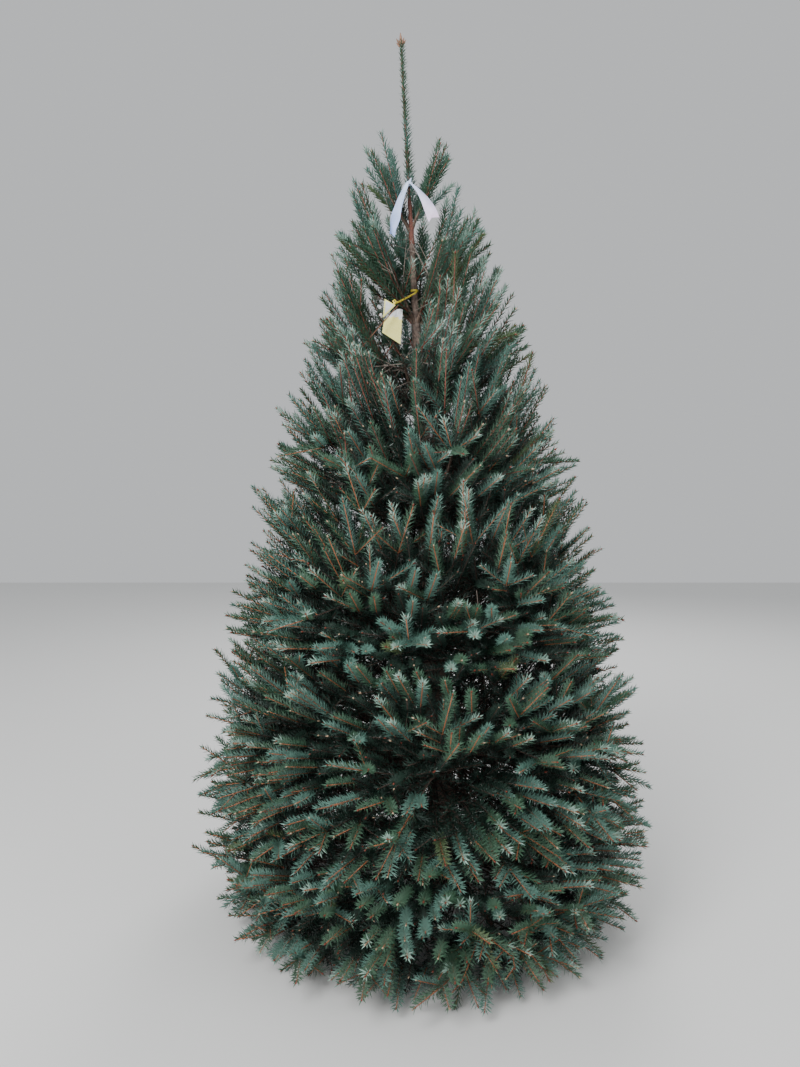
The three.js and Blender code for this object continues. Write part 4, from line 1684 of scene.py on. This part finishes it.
# The plate's top edge is drawn up to a peak and crumpled, and shows its pale side
def makePlate():
    footLeft, footRight, topRight, topLeft = [atTag(corner) for corner in tagShape["plate"]]
    peak = atTag(tagShape["peak"])
    peakAt = tagShape["peakAt"]
    deselectAll()
    grid = {"x_subdivisions": tagShape["plateGrid"], "y_subdivisions": tagShape["plateGrid"]}
    bpy.ops.mesh.primitive_grid_add(**grid, size=1)
    piece = bpy.context.object
    folded = []
    for vertex in piece.data.vertices:
        across = vertex.co.x + 0.5
        rise = vertex.co.y + 0.5
        place = footLeft.lerp(footRight, across).lerp(topLeft.lerp(topRight, across), rise)
        arch = max(0, 1 - abs(across - peakAt) / peakAt) * rise ** 4
        place += (peak - topLeft.lerp(topRight, peakAt)) * arch
        folded.append(rise + tagShape["foldLean"] * across - tagShape["foldDrop"])
        crinkle = max(folded[-1] - tagShape["foldFrom"], 0)
        place.y -= tagShape["bulge"] * math.sin(across * math.pi) * rise
        place.y += crinkle * waves(across, rise, tagShape["crinkles"])
        vertex.co = place
    addMaterials(piece, tagFinishes["plate"], tagFinishes["fold"])
    for face in piece.data.polygons:
        level = sum(folded[index] for index in face.vertices) / len(face.vertices)
        face.material_index = 1 if level > tagShape["foldFrom"] + tagShape["foldEdge"] else 0
    thicken(piece, tagShape["thickness"])
    return piece


# A three-cornered flap with a hem, its middle raised
def makeFlap():
    deselectAll()
    bpy.ops.mesh.primitive_circle_add(vertices=3, radius=1, fill_type="NGON")
    piece = bpy.context.object
    for vertex, corner in zip(piece.data.vertices, tagShape["flap"]):
        vertex.co = atTag(corner)
    addMaterials(piece, tagFinishes["plate"], tagFinishes["fold"])
    bpy.ops.object.mode_set(mode="EDIT")
    bpy.ops.mesh.select_all(action="SELECT")
    bpy.ops.mesh.inset(**tagShape["flapHem"])
    bpy.ops.mesh.poke(offset=tagShape["flapRise"])
    bpy.ops.object.mode_set(mode="OBJECT")
    for face in piece.data.polygons:
        face.material_index = 1 if len(face.vertices) == 3 else 0
    thicken(piece, tagShape["thickness"])
    return piece


# Crumpled ends of the film beside the flap
def makeScrap(offset, size):
    deselectAll()
    bpy.ops.mesh.primitive_grid_add(x_subdivisions=6, y_subdivisions=6, size=size, location=atTag(offset))
    piece = bpy.context.object
    piece.rotation_euler = tagShape["scrapTurn"]
    applyPlace()
    addRelief(piece, "scrapLumps", "CLOUDS", size * 0.5, size * 1.2)
    addMaterials(piece, tagFinishes["fold"])
    thicken(piece, tagShape["thickness"])
    return piece


def makeBead(place, size):
    bpy.ops.mesh.primitive_ico_sphere_add(subdivisions=3, radius=size / 2, location=place)
    piece = bpy.context.object
    piece.scale = tagShape["knotShape"]
    applyPlace()
    addMaterials(piece, tagFinishes["strap"])
    return piece


# A flat strap through a row of places
def makeStrap(places, widthShare):
    width = tagShape["strapWidth"] * widthShare
    row = [(place, 1) for place in places]
    piece = meshFromCurve("strap", [row], extrude=width / 2, bevel_depth=tagShape["strapThickness"] / 2)
    addMaterials(piece, tagFinishes["strap"])
    return piece


def buildTag():
    away = atTag(tagShape["strapEnd"])
    straight = []
    for step in range(tagShape["strapSteps"] + 1):
        share = step / tagShape["strapSteps"]
        straight.append(tagTop.lerp(away, share) - up * (tagShape["strapSag"] * math.sin(share * math.pi)))
    radius = barkRadius(tag["strapHeight"]) + tagShape["trunkClear"]
    turns = [2 * math.pi * step / tagShape["trunkSteps"] for step in range(tagShape["trunkSteps"] + 1)]
    parts = [
        makePlate(),
        makeFlap(),
        *[makeScrap(*scrap) for scrap in tagShape["scraps"]],
        makeStrap(straight, 1),
        makeStrap([strapMiddle + outwards(turn) * radius for turn in turns], tagShape["trunkWidthShare"]),
        makeStrap([atTag(offset) for offset in tagShape["loop"]], tagShape["loopWidthShare"]),
        makeBead(tagTop, tagShape["knotSize"] * tagShape["hookKnotShare"]),
        makeBead(tagTop.lerp(away, tagShape["knotShare"]), tagShape["knotSize"]),
    ]
    finishJoined(parts, "tag_film", "tag", "tag")


buildTag()
print("tag made")


# Floor, light and camera
stage = {
    "floorSize": 14,
    "floor": {"Base Color": (0.72, 0.72, 0.71, 1), "Roughness": 0.9},
    "sky": {"Color": (0.90, 0.92, 0.94, 1), "Strength": 0.68},
    "lights": [
        ("keyLight", (-1.8, -2.9, 3.6), 2.2, 200),
        ("fillLight", (3.2, -2.2, 2.6), 3.0, 45),
        ("backLight", (1.0, 3.6, 3.8), 2.5, 110),
    ],
    "lightAim": (0, 0, 1.0),
    "lens": 27.05,
    "cameraPlace": (-0.128, -2.09, 1.11),
    "cameraTilt": 3.46,
}


def buildStage():
    deselectAll()
    bpy.ops.mesh.primitive_plane_add(size=stage["floorSize"])
    floor = bpy.context.object
    floor.name = "studio_floor"
    addMaterials(floor, newMaterial("studioFloor", stage["floor"]))
    world = bpy.data.worlds.new("studio")
    bpy.context.scene.world = world
    world.use_nodes = True
    feed(world.node_tree, world.node_tree.nodes["Background"], stage["sky"])
    for light in stage["lights"]:
        addLight(*light)


def addLight(name, place, size, power):
    data = bpy.data.lights.new(name, "AREA")
    data.shape = "DISK"
    data.size = size
    data.energy = power
    light = bpy.data.objects.new(name, data)
    light.location = place
    aim = Vector(stage["lightAim"]) - Vector(place)
    light.rotation_euler = aim.to_track_quat("-Z", "Y").to_euler()
    bpy.context.collection.objects.link(light)


def buildCamera():
    data = bpy.data.cameras.new("photoCamera")
    data.lens = stage["lens"]
    camera = bpy.data.objects.new("photoCamera", data)
    camera.location = stage["cameraPlace"]
    camera.rotation_euler = (math.radians(90 - stage["cameraTilt"]), 0, 0)
    bpy.context.collection.objects.link(camera)
    bpy.context.scene.camera = camera


buildStage()
buildCamera()
